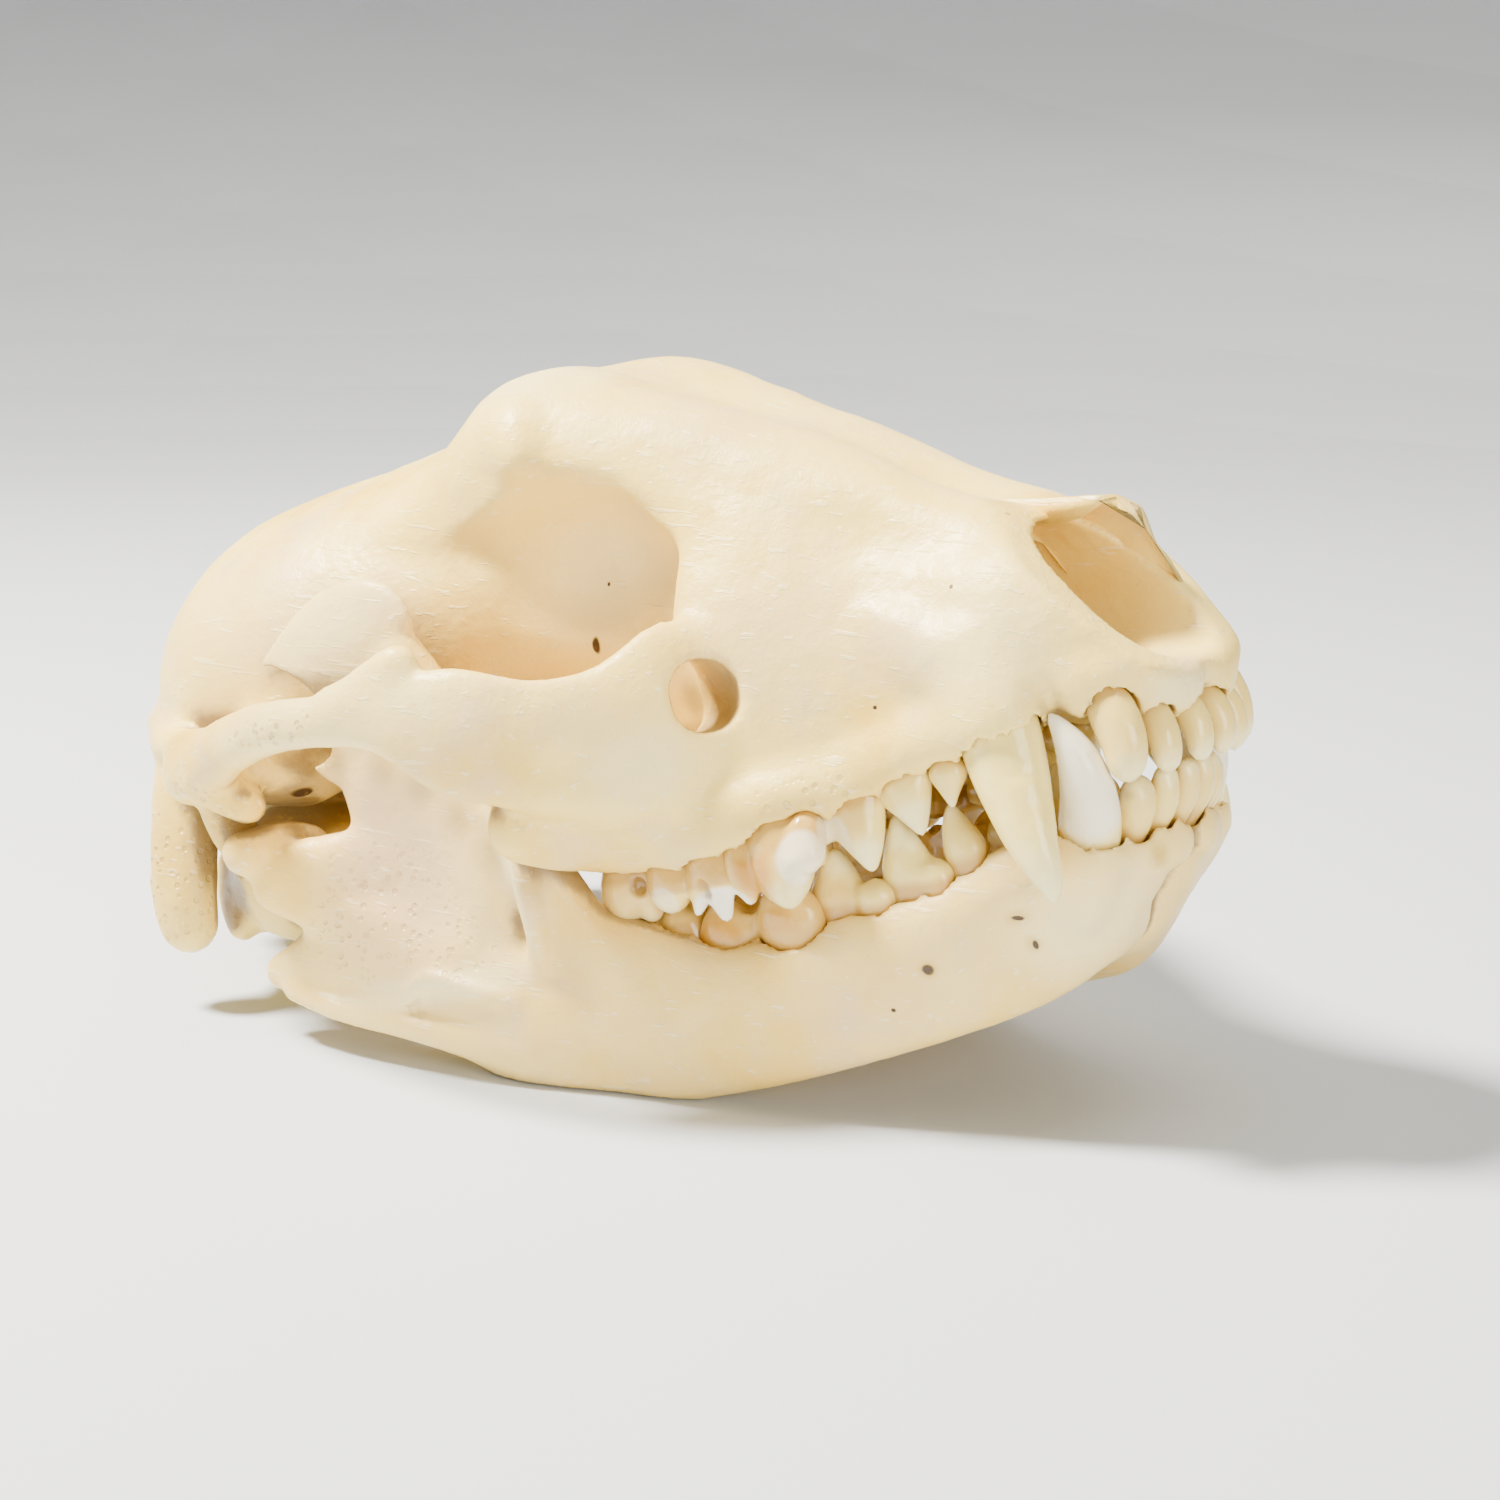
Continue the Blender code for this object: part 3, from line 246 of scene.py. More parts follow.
lattice = np.random.default_rng(7).random((32, 32, 32)).astype(np.float32)


def noise(points, size, octaves=2):
    # random lattice read with smoothed steps, each octave half the size and strength; about -1 to 1
    total, weight = np.zeros(len(points)), 0.0
    for k in range(octaves):
        p = points / size * 2 ** k + 11.3 * k
        i = np.floor(p).astype(int)
        t = p - i
        t = t * t * (3 - 2 * t)
        value = np.zeros(len(points))
        for dx in (0, 1):
            for dy in (0, 1):
                for dz in (0, 1):
                    w = (t[:, 0] if dx else 1 - t[:, 0]) * (t[:, 1] if dy else 1 - t[:, 1])
                    w = w * (t[:, 2] if dz else 1 - t[:, 2])
                    value += w * lattice[(i[:, 0] + dx) % 32, (i[:, 1] + dy) % 32, (i[:, 2] + dz) % 32]
        total += (value * 2 - 1) * 0.5 ** k
        weight += 0.5 ** k
    return total / weight


def pointNormals(points, tris):
    # sum of the crossed edges of the triangles round each point, made unit length
    face = np.cross(points[tris[:, 1]] - points[tris[:, 0]], points[tris[:, 2]] - points[tris[:, 0]])
    out = np.zeros_like(points)
    for k in range(3):
        for axis in range(3):
            out[:, axis] += np.bincount(tris[:, k], face[:, axis], len(points))
    return out / np.maximum(np.linalg.norm(out, axis=1), 1e-9)[:, None]


def blob(points, centre, radius, soft):
    # 1 inside an ellipsoid about the centre, falling to 0 at its edge over the soft share of it
    r = np.linalg.norm((points - np.asarray(centre, float)) / np.asarray(radius, float), axis=1)
    t = np.clip((1 - r) / max(soft, 1e-3), 0, 1)
    return t * t * (3 - 2 * t)


def toRow(points):
    # pitches the skull nose up about y, shifts it and turns millimetres into metres
    a = math.radians(setDown["pitch"])
    x = points[:, 0] * math.cos(a) - points[:, 2] * math.sin(a)
    z = points[:, 0] * math.sin(a) + points[:, 2] * math.cos(a)
    return (np.stack([x, points[:, 1], z], 1) + setDown["shift"]) * 0.001


def meshPiece(name, points, tris, quads, masks, material, nodes=()):
    # a finished piece, set down on the floor, with its masks as attributes of its points
    mesh = bpy.data.meshes.new(name)
    faces = [tuple(f) for f in tris.tolist()] + [tuple(f) for f in quads.tolist()]
    placed = toRow(points)
    placed[:, 2] = np.maximum(placed[:, 2], 0)
    mesh.from_pydata(placed.tolist(), [], faces)
    for key, values in masks.items():
        mesh.attributes.new(key, "FLOAT", "POINT").data.foreach_set("value", np.asarray(values, np.float32))
    mesh.shade_smooth()
    mesh.materials.append(material)
    piece = bpy.data.objects.new(name, mesh)
    bpy.context.scene.collection.objects.link(piece)
    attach(piece, "root")
    if nodes:
        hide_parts(*nodes)
    print(name, len(points), "points")


def thinned(points, quads, triangles):
    # the skin reduced to the number of triangles given, where it has more
    if 2 * len(quads) <= triangles:
        return points, np.zeros((0, 3), int), quads
    mesh = bpy.data.meshes.new("thick")
    mesh.from_pydata(points.tolist(), [], quads.tolist())
    holder = bpy.data.objects.new("thick", mesh)
    bpy.context.scene.collection.objects.link(holder)
    decimate = holder.modifiers.new("thin", "DECIMATE")
    decimate.ratio = triangles / (2 * len(quads))
    decimate.use_collapse_triangulate = True
    bpy.context.view_layer.update()
    result = holder.evaluated_get(bpy.context.evaluated_depsgraph_get()).to_mesh()
    out = np.empty(len(result.vertices) * 3)
    result.vertices.foreach_get("co", out)
    tris = np.empty(len(result.polygons) * 3, int)
    result.polygons.foreach_get("vertices", tris)
    bpy.data.objects.remove(holder)
    bpy.data.meshes.remove(mesh)
    return out.reshape(-1, 3), tris.reshape(-1, 3), np.zeros((0, 4), int)


# Cranium: braincase, face and cheek arches in one skin. A loft is (blend, form), a sweep (up, blend, rows)
# and a ball (centre, half axes, tilt, blend); a row is x, y, z, high and thick.

cranium = {
    "lofts": {
        "braincase": (0, {
            "x": [3, 6, 10, 15, 22, 30, 38, 46, 52, 58, 66],
            "half": [9, 13.4, 17.4, 21, 23.3, 23.2, 21, 17.6, 15.6, 13.6, 12],
            "top": [18.4, 23.8, 28.4, 32.2, 34.4, 35, 35.2, 35.6, 36, 36, 35],
            "bottom": [8, 5, 4, 3.5, 4, 4.5, 5, 7, 9, 9, 9],
            "waist": 0.46,
            "topPower": [2.1, 2.1, 2.1, 2.1, 2.1, 2.1, 2, 1.8, 1.7, 1.7, 1.7],
            "bottomPower": 2.4, "caps": (3, 1)}),
        "forehead": (2.4, {
            "x": [34, 41, 47, 52, 56, 60, 64, 70, 76, 84, 90],
            "half": [14.6, 15, 15.3, 16, 16.7, 17, 16.4, 15, 13.6, 11, 9],
            "top": [33.6, 35, 36.6, 38.3, 39.2, 38.8, 36.8, 33.4, 30, 25.4, 21.6],
            "bottom": [25, 23.5, 21.5, 20.5, 21.5, 22.4, 21, 19, 16, 12, 9],
            "waist": 0.4,
            "topPower": [1.8, 1.9, 2.2, 2.7, 3.3, 3.4, 3.2, 2.8, 2.4, 2.2, 2.2],
            "bottomPower": 1.6, "caps": (3, 4)}),
        "orbitWall": (2.5, {
            "x": [48, 56, 64, 72, 80, 86],
            "half": [9.5, 9.5, 10, 11.5, 14, 14],
            "top": [35, 35.5, 34.5, 31.5, 27.5, 23.5],
            "bottom": [6, 4, 1, 0, 0, 0], "waist": 0.4, "topPower": 2.2, "bottomPower": 3.0,
            "caps": (3, 3)}),
        "muzzle": (2.5, {
            "x": [71, 75, 79, 84, 90, 96, 101, 105, 108.5, 112.2],
            "half": [17.5, 19.6, 18.9, 16.9, 14.6, 13.4, 13, 11.4, 9.4, 7.2],
            "top": [28, 29, 28.4, 25.2, 21.6, 18.8, 17.4, 16.6, 16, 15],
            "bottom": [-1, -3.5, -3.5, -2.5, -0.5, 0.8, 1.6, 1.8, 1.6, 1.4],
            "waist": [0.3, 0.26, 0.24, 0.22, 0.2, 0.2, 0.22, 0.25, 0.25, 0.25],
            "topPower": [2, 2, 2, 2.05, 2.15, 2.3, 2.4, 2.4, 2.4, 2.4],
            "bottomPower": 3.2, "caps": (4, 0.8)}),
        "palate": (1.5, {
            "x": [53, 57, 62, 70, 78, 86, 94, 102, 110],
            "half": [7, 11, 17, 18.5, 17, 14.5, 12, 11, 8],
            "top": [3.5, 4, 4, 4, 4, 4, 5, 5, 4.5],
            "bottom": [0.5, 0.3, 0, 0, 0, 0.3, 0.8, 1.6, 2],
            "waist": 0.5, "topPower": 3.0, "bottomPower": 3.0, "caps": (1.5, 1)}),
        "skullBase": (1.5, {
            "x": [8, 16, 26, 36, 46, 56], "half": [5, 6, 6.5, 6.5, 7.5, 8.5], "top": [8, 8, 9, 10, 10, 9],
            "bottom": [3.6, 2.6, 2.8, 3.6, 4.6, 5],
            "waist": 0.5, "topPower": 3.0, "bottomPower": 3.0, "caps": (1, 1)})},
    "sweeps": {
        "browSwelling": ("z", 2.5, [
            (54, 7.5, 34.2, 4.4, 6.5), (61, 7.4, 33.4, 4.4, 6.5), (68, 6.8, 30.4, 4.2, 6),
            (76, 6, 26.4, 4, 5), (84, 5.2, 22, 3.9, 4.4), (92, 4.6, 17.8, 3.4, 3.8),
            (100, 4.2, 14.4, 2.9, 3.4)]),
        "browCorner": ("x", 2.0, [
            (58.5, 12, 34, 3, 4), (60.6, 15.6, 31.6, 2.2, 2.6), (61.4, 17.2, 29.8, 1, 1.2)]),
        "toothShelf": ("z", 1.5, [
            (60.5, 16.6, -1.2, 3, 3.4), (66, 17.3, -1.6, 3.8, 4.2), (73, 17.8, -1.8, 3.8, 4),
            (79, 16.9, -1.4, 3.4, 3.6), (85, 14.7, -0.9, 3, 2.7), (91, 13.1, 0.5, 2.7, 2.4),
            (97, 12, 1.6, 2.6, 2.6)]),
        "canineSocket": ("z", 1.6, [
            (88, 11, 12, 2, 2), (93.5, 11.6, 8.5, 2.9, 2.6), (97.5, 11.8, 6, 3, 2.8)]),
        "canineCollar": ("x", 1.6, [
            (97, 11.2, 10, 2.6, 2.4), (98.2, 11.5, 6, 3.8, 3.1), (99.2, 11.9, 2.4, 4.4, 3.5),
            (99.9, 12.3, -2.2, 4.4, 3.5)]),
        "incisorRim": ("z", 1.5, [
            (104, 9.6, 2.9, 2.6, 2.4), (107.4, 7.8, 2.5, 2.7, 2.4), (109.8, 4.6, 1.6, 2.8, 2.2),
            (110.8, 0, 1.4, 2.8, 2.2)]),
        "cheekCorner": ("z", 2.5, [
            (61.8, 30.2, 3, 3.6, 2.6), (62.6, 26.6, 0.8, 3, 2.6), (63.2, 23, -0.6, 2.8, 2.6),
            (63.5, 19, -1, 3, 3)]),
        "cheekRoot": ("z", 3.0, [(70, 19, 0.5, 4, 6), (68, 25, 3.2, 3.2, 4.4), (65.5, 29.3, 6.2, 3, 3)]),
        "cheekArch": ("z", 2.0, [
            (78.5, 15.5, 7, 9.5, 3.2), (75.5, 19.5, 7.5, 8.6, 2.6), (71, 25, 7.4, 5.6, 2.1),
            (66.5, 29.6, 8, 5.3, 1.9), (61.5, 32.6, 10.4, 5.2, 1.8), (56, 34.2, 12.6, 3, 1.7),
            (49, 34.8, 13.5, 2, 1.7), (42, 34.2, 13.9, 2.1, 1.7), (35, 32.6, 13, 2.6, 1.8),
            (29, 30, 11.8, 2.8, 2.4), (24, 26.5, 11.5, 2.8, 3), (22, 23, 11.5, 2.8, 3)]),
        "archCorner": ("z", 1.2, [
            (50, 34.7, 14, 1.6, 1.5), (54, 34.3, 14.9, 1.8, 1.5), (57.6, 33.7, 16, 1.9, 1.4),
            (59.9, 33.2, 17.1, 1.5, 1.1)]),
        "sideCrest": ("z", 1.8, [
            (33, 30.5, 13.6, 1.6, 1), (27, 28.4, 13.8, 1.5, 1.2), (21, 25.2, 14.3, 1.4, 1.6),
            (16, 22.2, 15.4, 1.3, 1.6), (12.4, 19, 17.6, 1.2, 1.6)]),
        "jawSeat": ("z", 2.2, [
            (29.6, 15, 11, 5, 5), (30.2, 20, 11.2, 4.8, 4.4), (30, 25, 11.4, 3.8, 4),
            (28.8, 29, 11.8, 2.6, 3.2)]),
        "hookBehindJoint": ("y", 1.2, [
            (26.6, 27.6, 9.8, 2, 1.8), (26.4, 25.5, 4.5, 2.2, 1.5), (27.2, 24.5, 1.8, 1.6, 1)]),
        "lipBeforeJoint": ("z", 1.2, [
            (27.4, 30, 11.4, 2.4, 2), (30.4, 29.6, 9.2, 2, 1.8), (33.4, 28.6, 6.8, 1.5, 1.5)]),
        "mastoid": ("y", 2.0, [
            (17.5, 20, 17, 2.2, 3), (17.3, 22.4, 11, 2.6, 3.4), (16.8, 24, 5, 2.6, 3.4),
            (16.4, 24.9, 0, 2.4, 3.2), (16.1, 25, -4.6, 1.9, 2.5)]),
        "besideOcciput": ("y", 1.6, [
            (15, 15, 4, 2.4, 2.6), (16, 17.6, 0, 2, 2.2), (17.4, 19.6, -3.6, 1.3, 1.5),
            (17.6, 20, -4.6, 0.9, 1)]),
        "earTube": ("z", 1.2, [(22.5, 19, 3.2, 2.6, 2.8), (22.6, 23.2, 3.4, 2.2, 2.4)]),
        "occiputCrest": ("x", 1.6, [
            (6.2, 0, 23.6, 1.4, 2), (8.2, 7.5, 23.2, 1.4, 2), (11.6, 13.4, 20.6, 1.4, 2),
            (14, 17.6, 16.2, 1.4, 1.8), (15.6, 21.4, 11, 1.5, 2)]),
        "wingOfPalate": ("z", 1.0, [
            (57.4, 8.6, 3.4, 3.4, 1.3), (50, 7.6, 2.6, 3.6, 1.2), (44, 7, 2.4, 3.2, 1.1),
            (39.5, 7, 1.2, 1.6, 0.9)])},
    "balls": {
        "earDrum": ((24, 15, 0.2), (9, 7.2, 6.9), -8, 1.6),
        "occipitalCondyle": ((5, 6.6, 7.6), (3.3, 3.6, 5.2), 20, 1.2)}}

# What is taken out of the cranium: a passage is (blend, rows), a ball as above, and noseRim is its blend
# and the x and z of its lower and its upper end

hollows = {
    "nosePassage": (0.6, [
        (124, 0, 8.6, 7, 8.2), (110, 0, 9.4, 6.2, 7.2), (104, 0, 10, 6, 6.6), (96, 0, 10.6, 6, 6.2),
        (86, 0, 12, 7, 6.4), (76, 0, 12, 6, 6)]),
    "cheekPassage": (0.5, [
        (84.5, 23.4, 8.5, 2.8, 2.6), (79.4, 20.8, 8.5, 3, 2.8), (75.2, 18.2, 8.6, 3, 2.8),
        (70, 16, 9.2, 3.2, 3), (64, 15, 10, 3.6, 3.4)]),
    "spinePassage": (0.8, [(-8, 0, 10, 5.2, 6), (4, 0, 10.6, 5.2, 6.2), (12, 0, 12, 5, 7)]),
    "throatPassage": (0.8, [
        (36, 0, 1.2, 3, 5), (50, 0, 1.6, 3.2, 5.4), (60, 0, 5.2, 2.6, 5.2), (74, 0, 9, 3, 5)]),
    "earPassage": (0.4, [(22.8, 32, 2.8, 1.6, 1.7), (22.8, 22, 3, 1.6, 1.7), (23.6, 17, 2.6, 1.6, 1.7)]),
    "incisorPassage": (0.4, [(103.6, 2.7, -4, 1.2, 2.6), (103.4, 2.7, -0.6, 0.9, 1.8)]),
    "eyeSocket": ((63.8, 21.4, 20.2), (11.3, 11, 10), 8, 1.8),
    "brain": ((27, 0, 20), (20, 19, 12), 0, 0.5),
    "noseRim": (0.5, (111, 4), (101.9, 15.2)),
    "noseRimSize": 40}

# Lower jaw, left half: sweeps as in the cranium, and the hollows taken out of it

jaw = {
    "body": [
        (38, 23.8, -10.3, 4.2, 1.9, 0), (46, 23.2, -11, 5.6, 2.6, 0), (53, 21.6, -13.7, 7.4, 3.2, 0),
        (60, 19.4, -15.4, 8, 3.4, -2), (66, 18, -17.3, 7.4, 3.4, -5), (72, 16.7, -18.2, 6.4, 3.4, -8),
        (78, 15, -18, 6.2, 3.3, -12), (84, 13, -17.4, 6.4, 3.2, -16), (90, 10.8, -16.8, 6.5, 3.2, -20),
        (95.5, 8.2, -15.6, 6.8, 3, -26), (99.6, 6.2, -14.4, 6.2, 2.8, -34),
        (102, 4.6, -13.7, 5.6, 2.6, -42), (103.4, 2.6, -13.2, 5, 2.4, -48), (104, 0, -13, 4.8, 2.2, -50)],
    "condyle": [
        (31.6, 20.4, 2.7, 1.5, 1.5), (31.2, 23.5, 3, 2.4, 2.4), (30.9, 27.5, 3.4, 2.4, 2.4),
        (30.2, 31.2, 4.2, 1.5, 1.5)],
    "chewingHollow": [
        (48.6, 29.4, 9, 6, 3.4), (47.4, 29.1, 2, 8.6, 3.8), (45.8, 28.9, -5, 8.6, 3.9),
        (44, 29, -8.6, 6, 3.1)],
    "rearNotch": ((35.8, 25.6, 14.6), (6.6, 6, 4.5), -20, 0.6),
    "jointRoom": 0.6, "jointBlend": 0.4, "middle": 0.1,
    "sweeps": {
        "ramus": ("x", 1.6, [
            (47, 22.8, -10, 9, 2.8), (47.6, 23.2, -5, 9.2, 2.4), (48.2, 24, 4, 8.6, 2.1),
            (47.4, 24.8, 10.5, 8.5, 1.8), (44, 25.6, 16.5, 9.9, 1.7), (43.2, 25.9, 20.2, 10.2, 1.5),
            (42.5, 25.8, 22.8, 8.8, 1.2), (42, 25.5, 24.2, 5.6, 0.8)]),
        "frontEdgeOfRamus": ("y", 1.6, [
            (60.2, 19.4, -12, 2.6, 3), (58.6, 21.8, -5, 2.4, 2.8), (57, 24, 3.4, 2.1, 2.4),
            (54.4, 25.2, 11, 1.7, 1.9), (51, 25.8, 18.4, 1.4, 1.5)]),
        "condyleNeck": ("z", 1.5, [
            (46, 24, -4, 6, 1.8), (39, 25, -1.2, 4.9, 1.9), (35, 26, -0.2, 4.2, 2),
            (32, 27, 1, 3.2, 2.2), (30.4, 28, 2.6, 2.4, 2.2)]),
        "rearCorner": ("z", 1.5, [
            (44, 24.2, -9, 5, 1.8), (36, 25, -7.2, 4.6, 1.7), (30.5, 25.6, -7.6, 2.6, 1.6),
            (26.4, 25.8, -7.4, 1.2, 1.2)]),
        "lowerRidge": ("z", 1.2, [
            (29, 26.3, -8.8, 1, 1.2), (35, 26.5, -11.4, 1, 1.3), (41, 26, -13.4, 1.1, 1.4),
            (47, 25, -15.8, 1.3, 1.5), (54, 22.8, -18.6, 1.5, 1.5)]),
        "frontRidge": ("y", 0.9, [
            (57.2, 25.4, 3.9, 0.9, 1), (58.6, 25.2, -0.2, 1, 1.1), (58.5, 24.7, -4.4, 1.1, 1.1),
            (57.9, 24, -7.7, 1.1, 1.1), (56.9, 23.3, -10.3, 1, 1.1), (55.6, 22.4, -12.5, 0.9, 1)]),
        "innerCrest": ("z", 0.7, [
            (36, 26.2, -10.6, 0.6, 0.7), (42, 26, -11.8, 0.8, 0.8), (46.2, 25.8, -10.2, 0.8, 0.9),
            (49.8, 25.2, -11.6, 0.8, 0.9), (54.6, 23.8, -13.6, 0.8, 0.9)]),
        "canineSwelling": ("z", 1.0, [
            (92, 9.2, -15.5, 3, 2), (97.5, 8.6, -13, 3.2, 2.2), (101, 7.8, -11.4, 2.6, 2.2)]),
        "canineCollar": ("x", 1.0, [
            (98.4, 7.2, -16.4, 2.2, 2), (101, 7.7, -13, 3, 2.6), (102.9, 8.2, -10, 3.4, 2.9),
            (103.9, 8.8, -7.4, 3.3, 2.8)]),
        "chin": ("z", 1.5, [
            (86, 5.2, -19.2, 2.6, 3), (93, 3, -17.6, 3.6, 3), (99, 1.6, -15.6, 3.8, 2.6),
            (102, 0.8, -13.6, 3.2, 1.8)]),
        "toothShelf": ("z", 1.0, [
            (59, 17.4, -9.6, 2.2, 2.2), (62, 16.8, -11.8, 2.4, 2.8), (66, 16.1, -13.2, 2.4, 2.9),
            (74.6, 15.2, -14.8, 2.4, 3.1), (82, 13.5, -13.8, 2.4, 2.6), (88, 12.1, -12.9, 2.4, 2.3),
            (93, 10.9, -11.9, 2.4, 2.2), (98, 9.7, -10.5, 2.5, 2.3), (101.6, 8.4, -10.4, 2.6, 2.9),
            (103.4, 6.6, -10.8, 2.6, 2.6)]),
        "incisorShelf": ("z", 1.0, [
            (103.6, 6.4, -11, 2.4, 2), (105.4, 4.4, -10.8, 2.4, 1.9), (106.6, 2.2, -10.6, 2.4, 1.8),
            (107, 0, -10.6, 2.4, 1.8)])}}

# Teeth of the left side. Crown: place on the gum, (length, width, height), turn in degrees, slope of the
# biting face and its cusps as (along, across, height, reach). Cusps: rows from root to tip. Pits: balls.

upperTeeth = {
    "molar2": {
        "blend": 0.9,
        "crown": ((64.3, 16.2, -4.6), (6, 7.8, 3.4), 14, 0.5, [
            (-0.4, 0.55, 0.3, 0.5), (0.1, -0.55, 0.25, 0.55)]),
        "cusps": [
            [(63.8, 17, -2.4, 1.7, 1.6), (63.7, 17.9, -5.2, 2.3, 2), (63.6, 18.4, -7.2, 2.1, 1.7),
             (63.8, 18.5, -9, 0.8, 0.8)],
            [(66.3, 17.2, -2.6, 1.3, 1.4), (66.2, 18, -5, 1.7, 1.7), (66, 18.3, -7.2, 1.6, 1.4),
             (65.8, 18.4, -9.2, 0.6, 0.6)]],
        "pits": [((66.2, 20.1, -5.9), (0.75, 1.2, 0.85))]},
    "molar1": {
        "blend": 0.6,
        "crown": ((71.7, 16.2, -4.9), (8, 8.6, 3.2), 8, 0.7, [
            (0.35, -0.5, 0.4, 0.42), (-0.45, -0.5, 0.35, 0.4)]),
        "cusps": [
            [(69, 17.4, -2.6, 1.6, 1.6), (69, 18.4, -5.2, 2.2, 1.9), (68.8, 18.8, -7, 2.1, 1.6),
             (68.6, 19, -8.7, 0.9, 0.8)],
            [(73.6, 17.4, -2.6, 1.8, 1.6), (73.6, 18.4, -5, 2.5, 1.9), (73.7, 18.9, -6.8, 2.4, 1.5),
             (73.9, 19.1, -8.3, 1.3, 0.9)],
            [(72.2, 18.4, -6, 1, 1), (71.9, 19, -7.8, 0.8, 0.8), (71.4, 19.3, -9.2, 0.2, 0.25)],
            [(73.9, 18.6, -6.4, 1.2, 1), (74.2, 19.1, -8.4, 1.1, 0.7), (74.4, 19.2, -10, 0.45, 0.3)],
            [(75.6, 18.2, -5.4, 0.9, 1), (76, 18.7, -7.2, 0.7, 0.7), (76.5, 18.9, -8.6, 0.15, 0.2)]],
        "pits": [((73.3, 20.6, -7.1), (0.75, 1.3, 1.1))]},
    "premolar4": {
        "blend": 0.5,
        "crown": ((79.6, 15.8, -4.4), (6.8, 7.6, 3.6), 4, 0.8, [(0.2, -0.5, 0.45, 0.5)]),
        "cusps": [
            [(80, 16.8, -1.6, 2.2, 2), (80.2, 17.6, -4.4, 3.1, 2.3), (80.4, 18.1, -7, 2.9, 2),
             (80.6, 18.4, -8.8, 1.7, 1.3), (80.7, 18.5, -9.9, 0.4, 0.4)],
            [(76.8, 17.4, -2.4, 1.2, 1.2), (76.7, 18.4, -5, 1.6, 1.5), (76.9, 18.8, -7.2, 1.3, 1.1),
             (77.1, 19, -9, 0.3, 0.3)],
            [(83.2, 16.6, -2.4, 1.2, 1.4), (83.1, 17.8, -4.4, 1.6, 1.8), (83, 18.5, -5.9, 1.9, 1.5),
             (82.9, 18.6, -7.4, 1.3, 0.9)]]},
    "premolar3": {
        "blend": 1.0,
        "cusps": [
            [(84.8, 14, 1.5, 2, 1.4), (85.7, 14.2, -1.8, 2.9, 1.8), (86, 14.4, -4, 2.6, 1.9),
             (86.5, 14.7, -6.4, 1.5, 1.3), (86.7, 14.8, -8.4, 0.25, 0.3)],
            [(83.4, 14.4, -1.6, 1.2, 1.4), (82.9, 15, -3.4, 1.6, 1.7), (82.8, 15.2, -4.8, 1.3, 1.4),
             (82.9, 15.2, -5.6, 0.5, 0.6)]]},
    "premolar2": {
        "blend": 0.9,
        "cusps": [
            [(89.4, 12.9, 2.5, 1.7, 1.2), (90.1, 13, -0.8, 2.6, 1.5), (90.5, 13.2, -2.6, 2.4, 1.6),
             (91, 13.4, -4.4, 1.4, 1.1), (91.4, 13.6, -6.2, 0.25, 0.3)],
            [(88.3, 13, -0.4, 1, 1), (88.1, 13.1, -2, 1.1, 1.2), (88.2, 13.2, -3.2, 0.5, 0.6)]]},
    "premolar1": {
        "blend": 0.3,
        "cusps": [
            [(94.4, 12.5, 3, 0.9, 0.8), (94.6, 12.7, -0.4, 1.3, 1), (94.6, 12.9, -1.8, 1.7, 1.2),
             (94.5, 13, -3.2, 0.9, 0.7), (94.4, 13, -4.6, 0.15, 0.15)]]},
    "canine": {
        "blend": 0.3,
        "cusps": [
            [(96.5, 11.2, 9, 1.8, 1.5), (98.2, 11.5, 5, 2.8, 2.2), (99.4, 11.9, 1.5, 3.5, 2.6),
             (100, 12.4, -2, 3.35, 2.55), (100.7, 13, -5.2, 2.8, 2.25), (101.5, 13.6, -8.4, 2.1, 1.7),
             (102.3, 13.8, -11.6, 1.1, 0.95), (102.4, 13.8, -13.3, 0.3, 0.3)]]},
    "incisor3": {
        "blend": 0.3,
        "cusps": [
            [(106.2, 7.9, 3.4, 1, 1), (106.9, 8.1, 2.4, 1.5, 1.3), (107.9, 8.5, 0.4, 2, 1.6),
             (108.5, 8.7, -2.2, 1.95, 1.45), (108.3, 8.7, -4.3, 1.4, 1.2), (108.2, 8.6, -5.3, 0.7, 0.8)]]},
    "incisor2": {
        "blend": 0.3,
        "cusps": [
            [(108.2, 4.9, 1.6, 0.8, 0.7), (108.8, 5, 0.8, 1.1, 1), (109.7, 5.3, -0.9, 1.4, 1.25),
             (110.2, 5.5, -3.1, 1.3, 1.25), (110, 5.4, -4.7, 0.85, 1.1), (109.9, 5.4, -5.4, 0.4, 0.8)]]},
    "incisor1": {
        "blend": 0.3,
        "cusps": [
            [(109.3, 1.6, 1.4, 0.7, 0.6), (109.9, 1.65, 0.6, 1, 0.9), (110.7, 1.8, -0.9, 1.3, 1.2),
             (111.2, 1.9, -2.9, 1.2, 1.2), (111, 1.85, -4.5, 0.8, 1.05), (110.9, 1.85, -5.2, 0.4, 0.75)]]}}
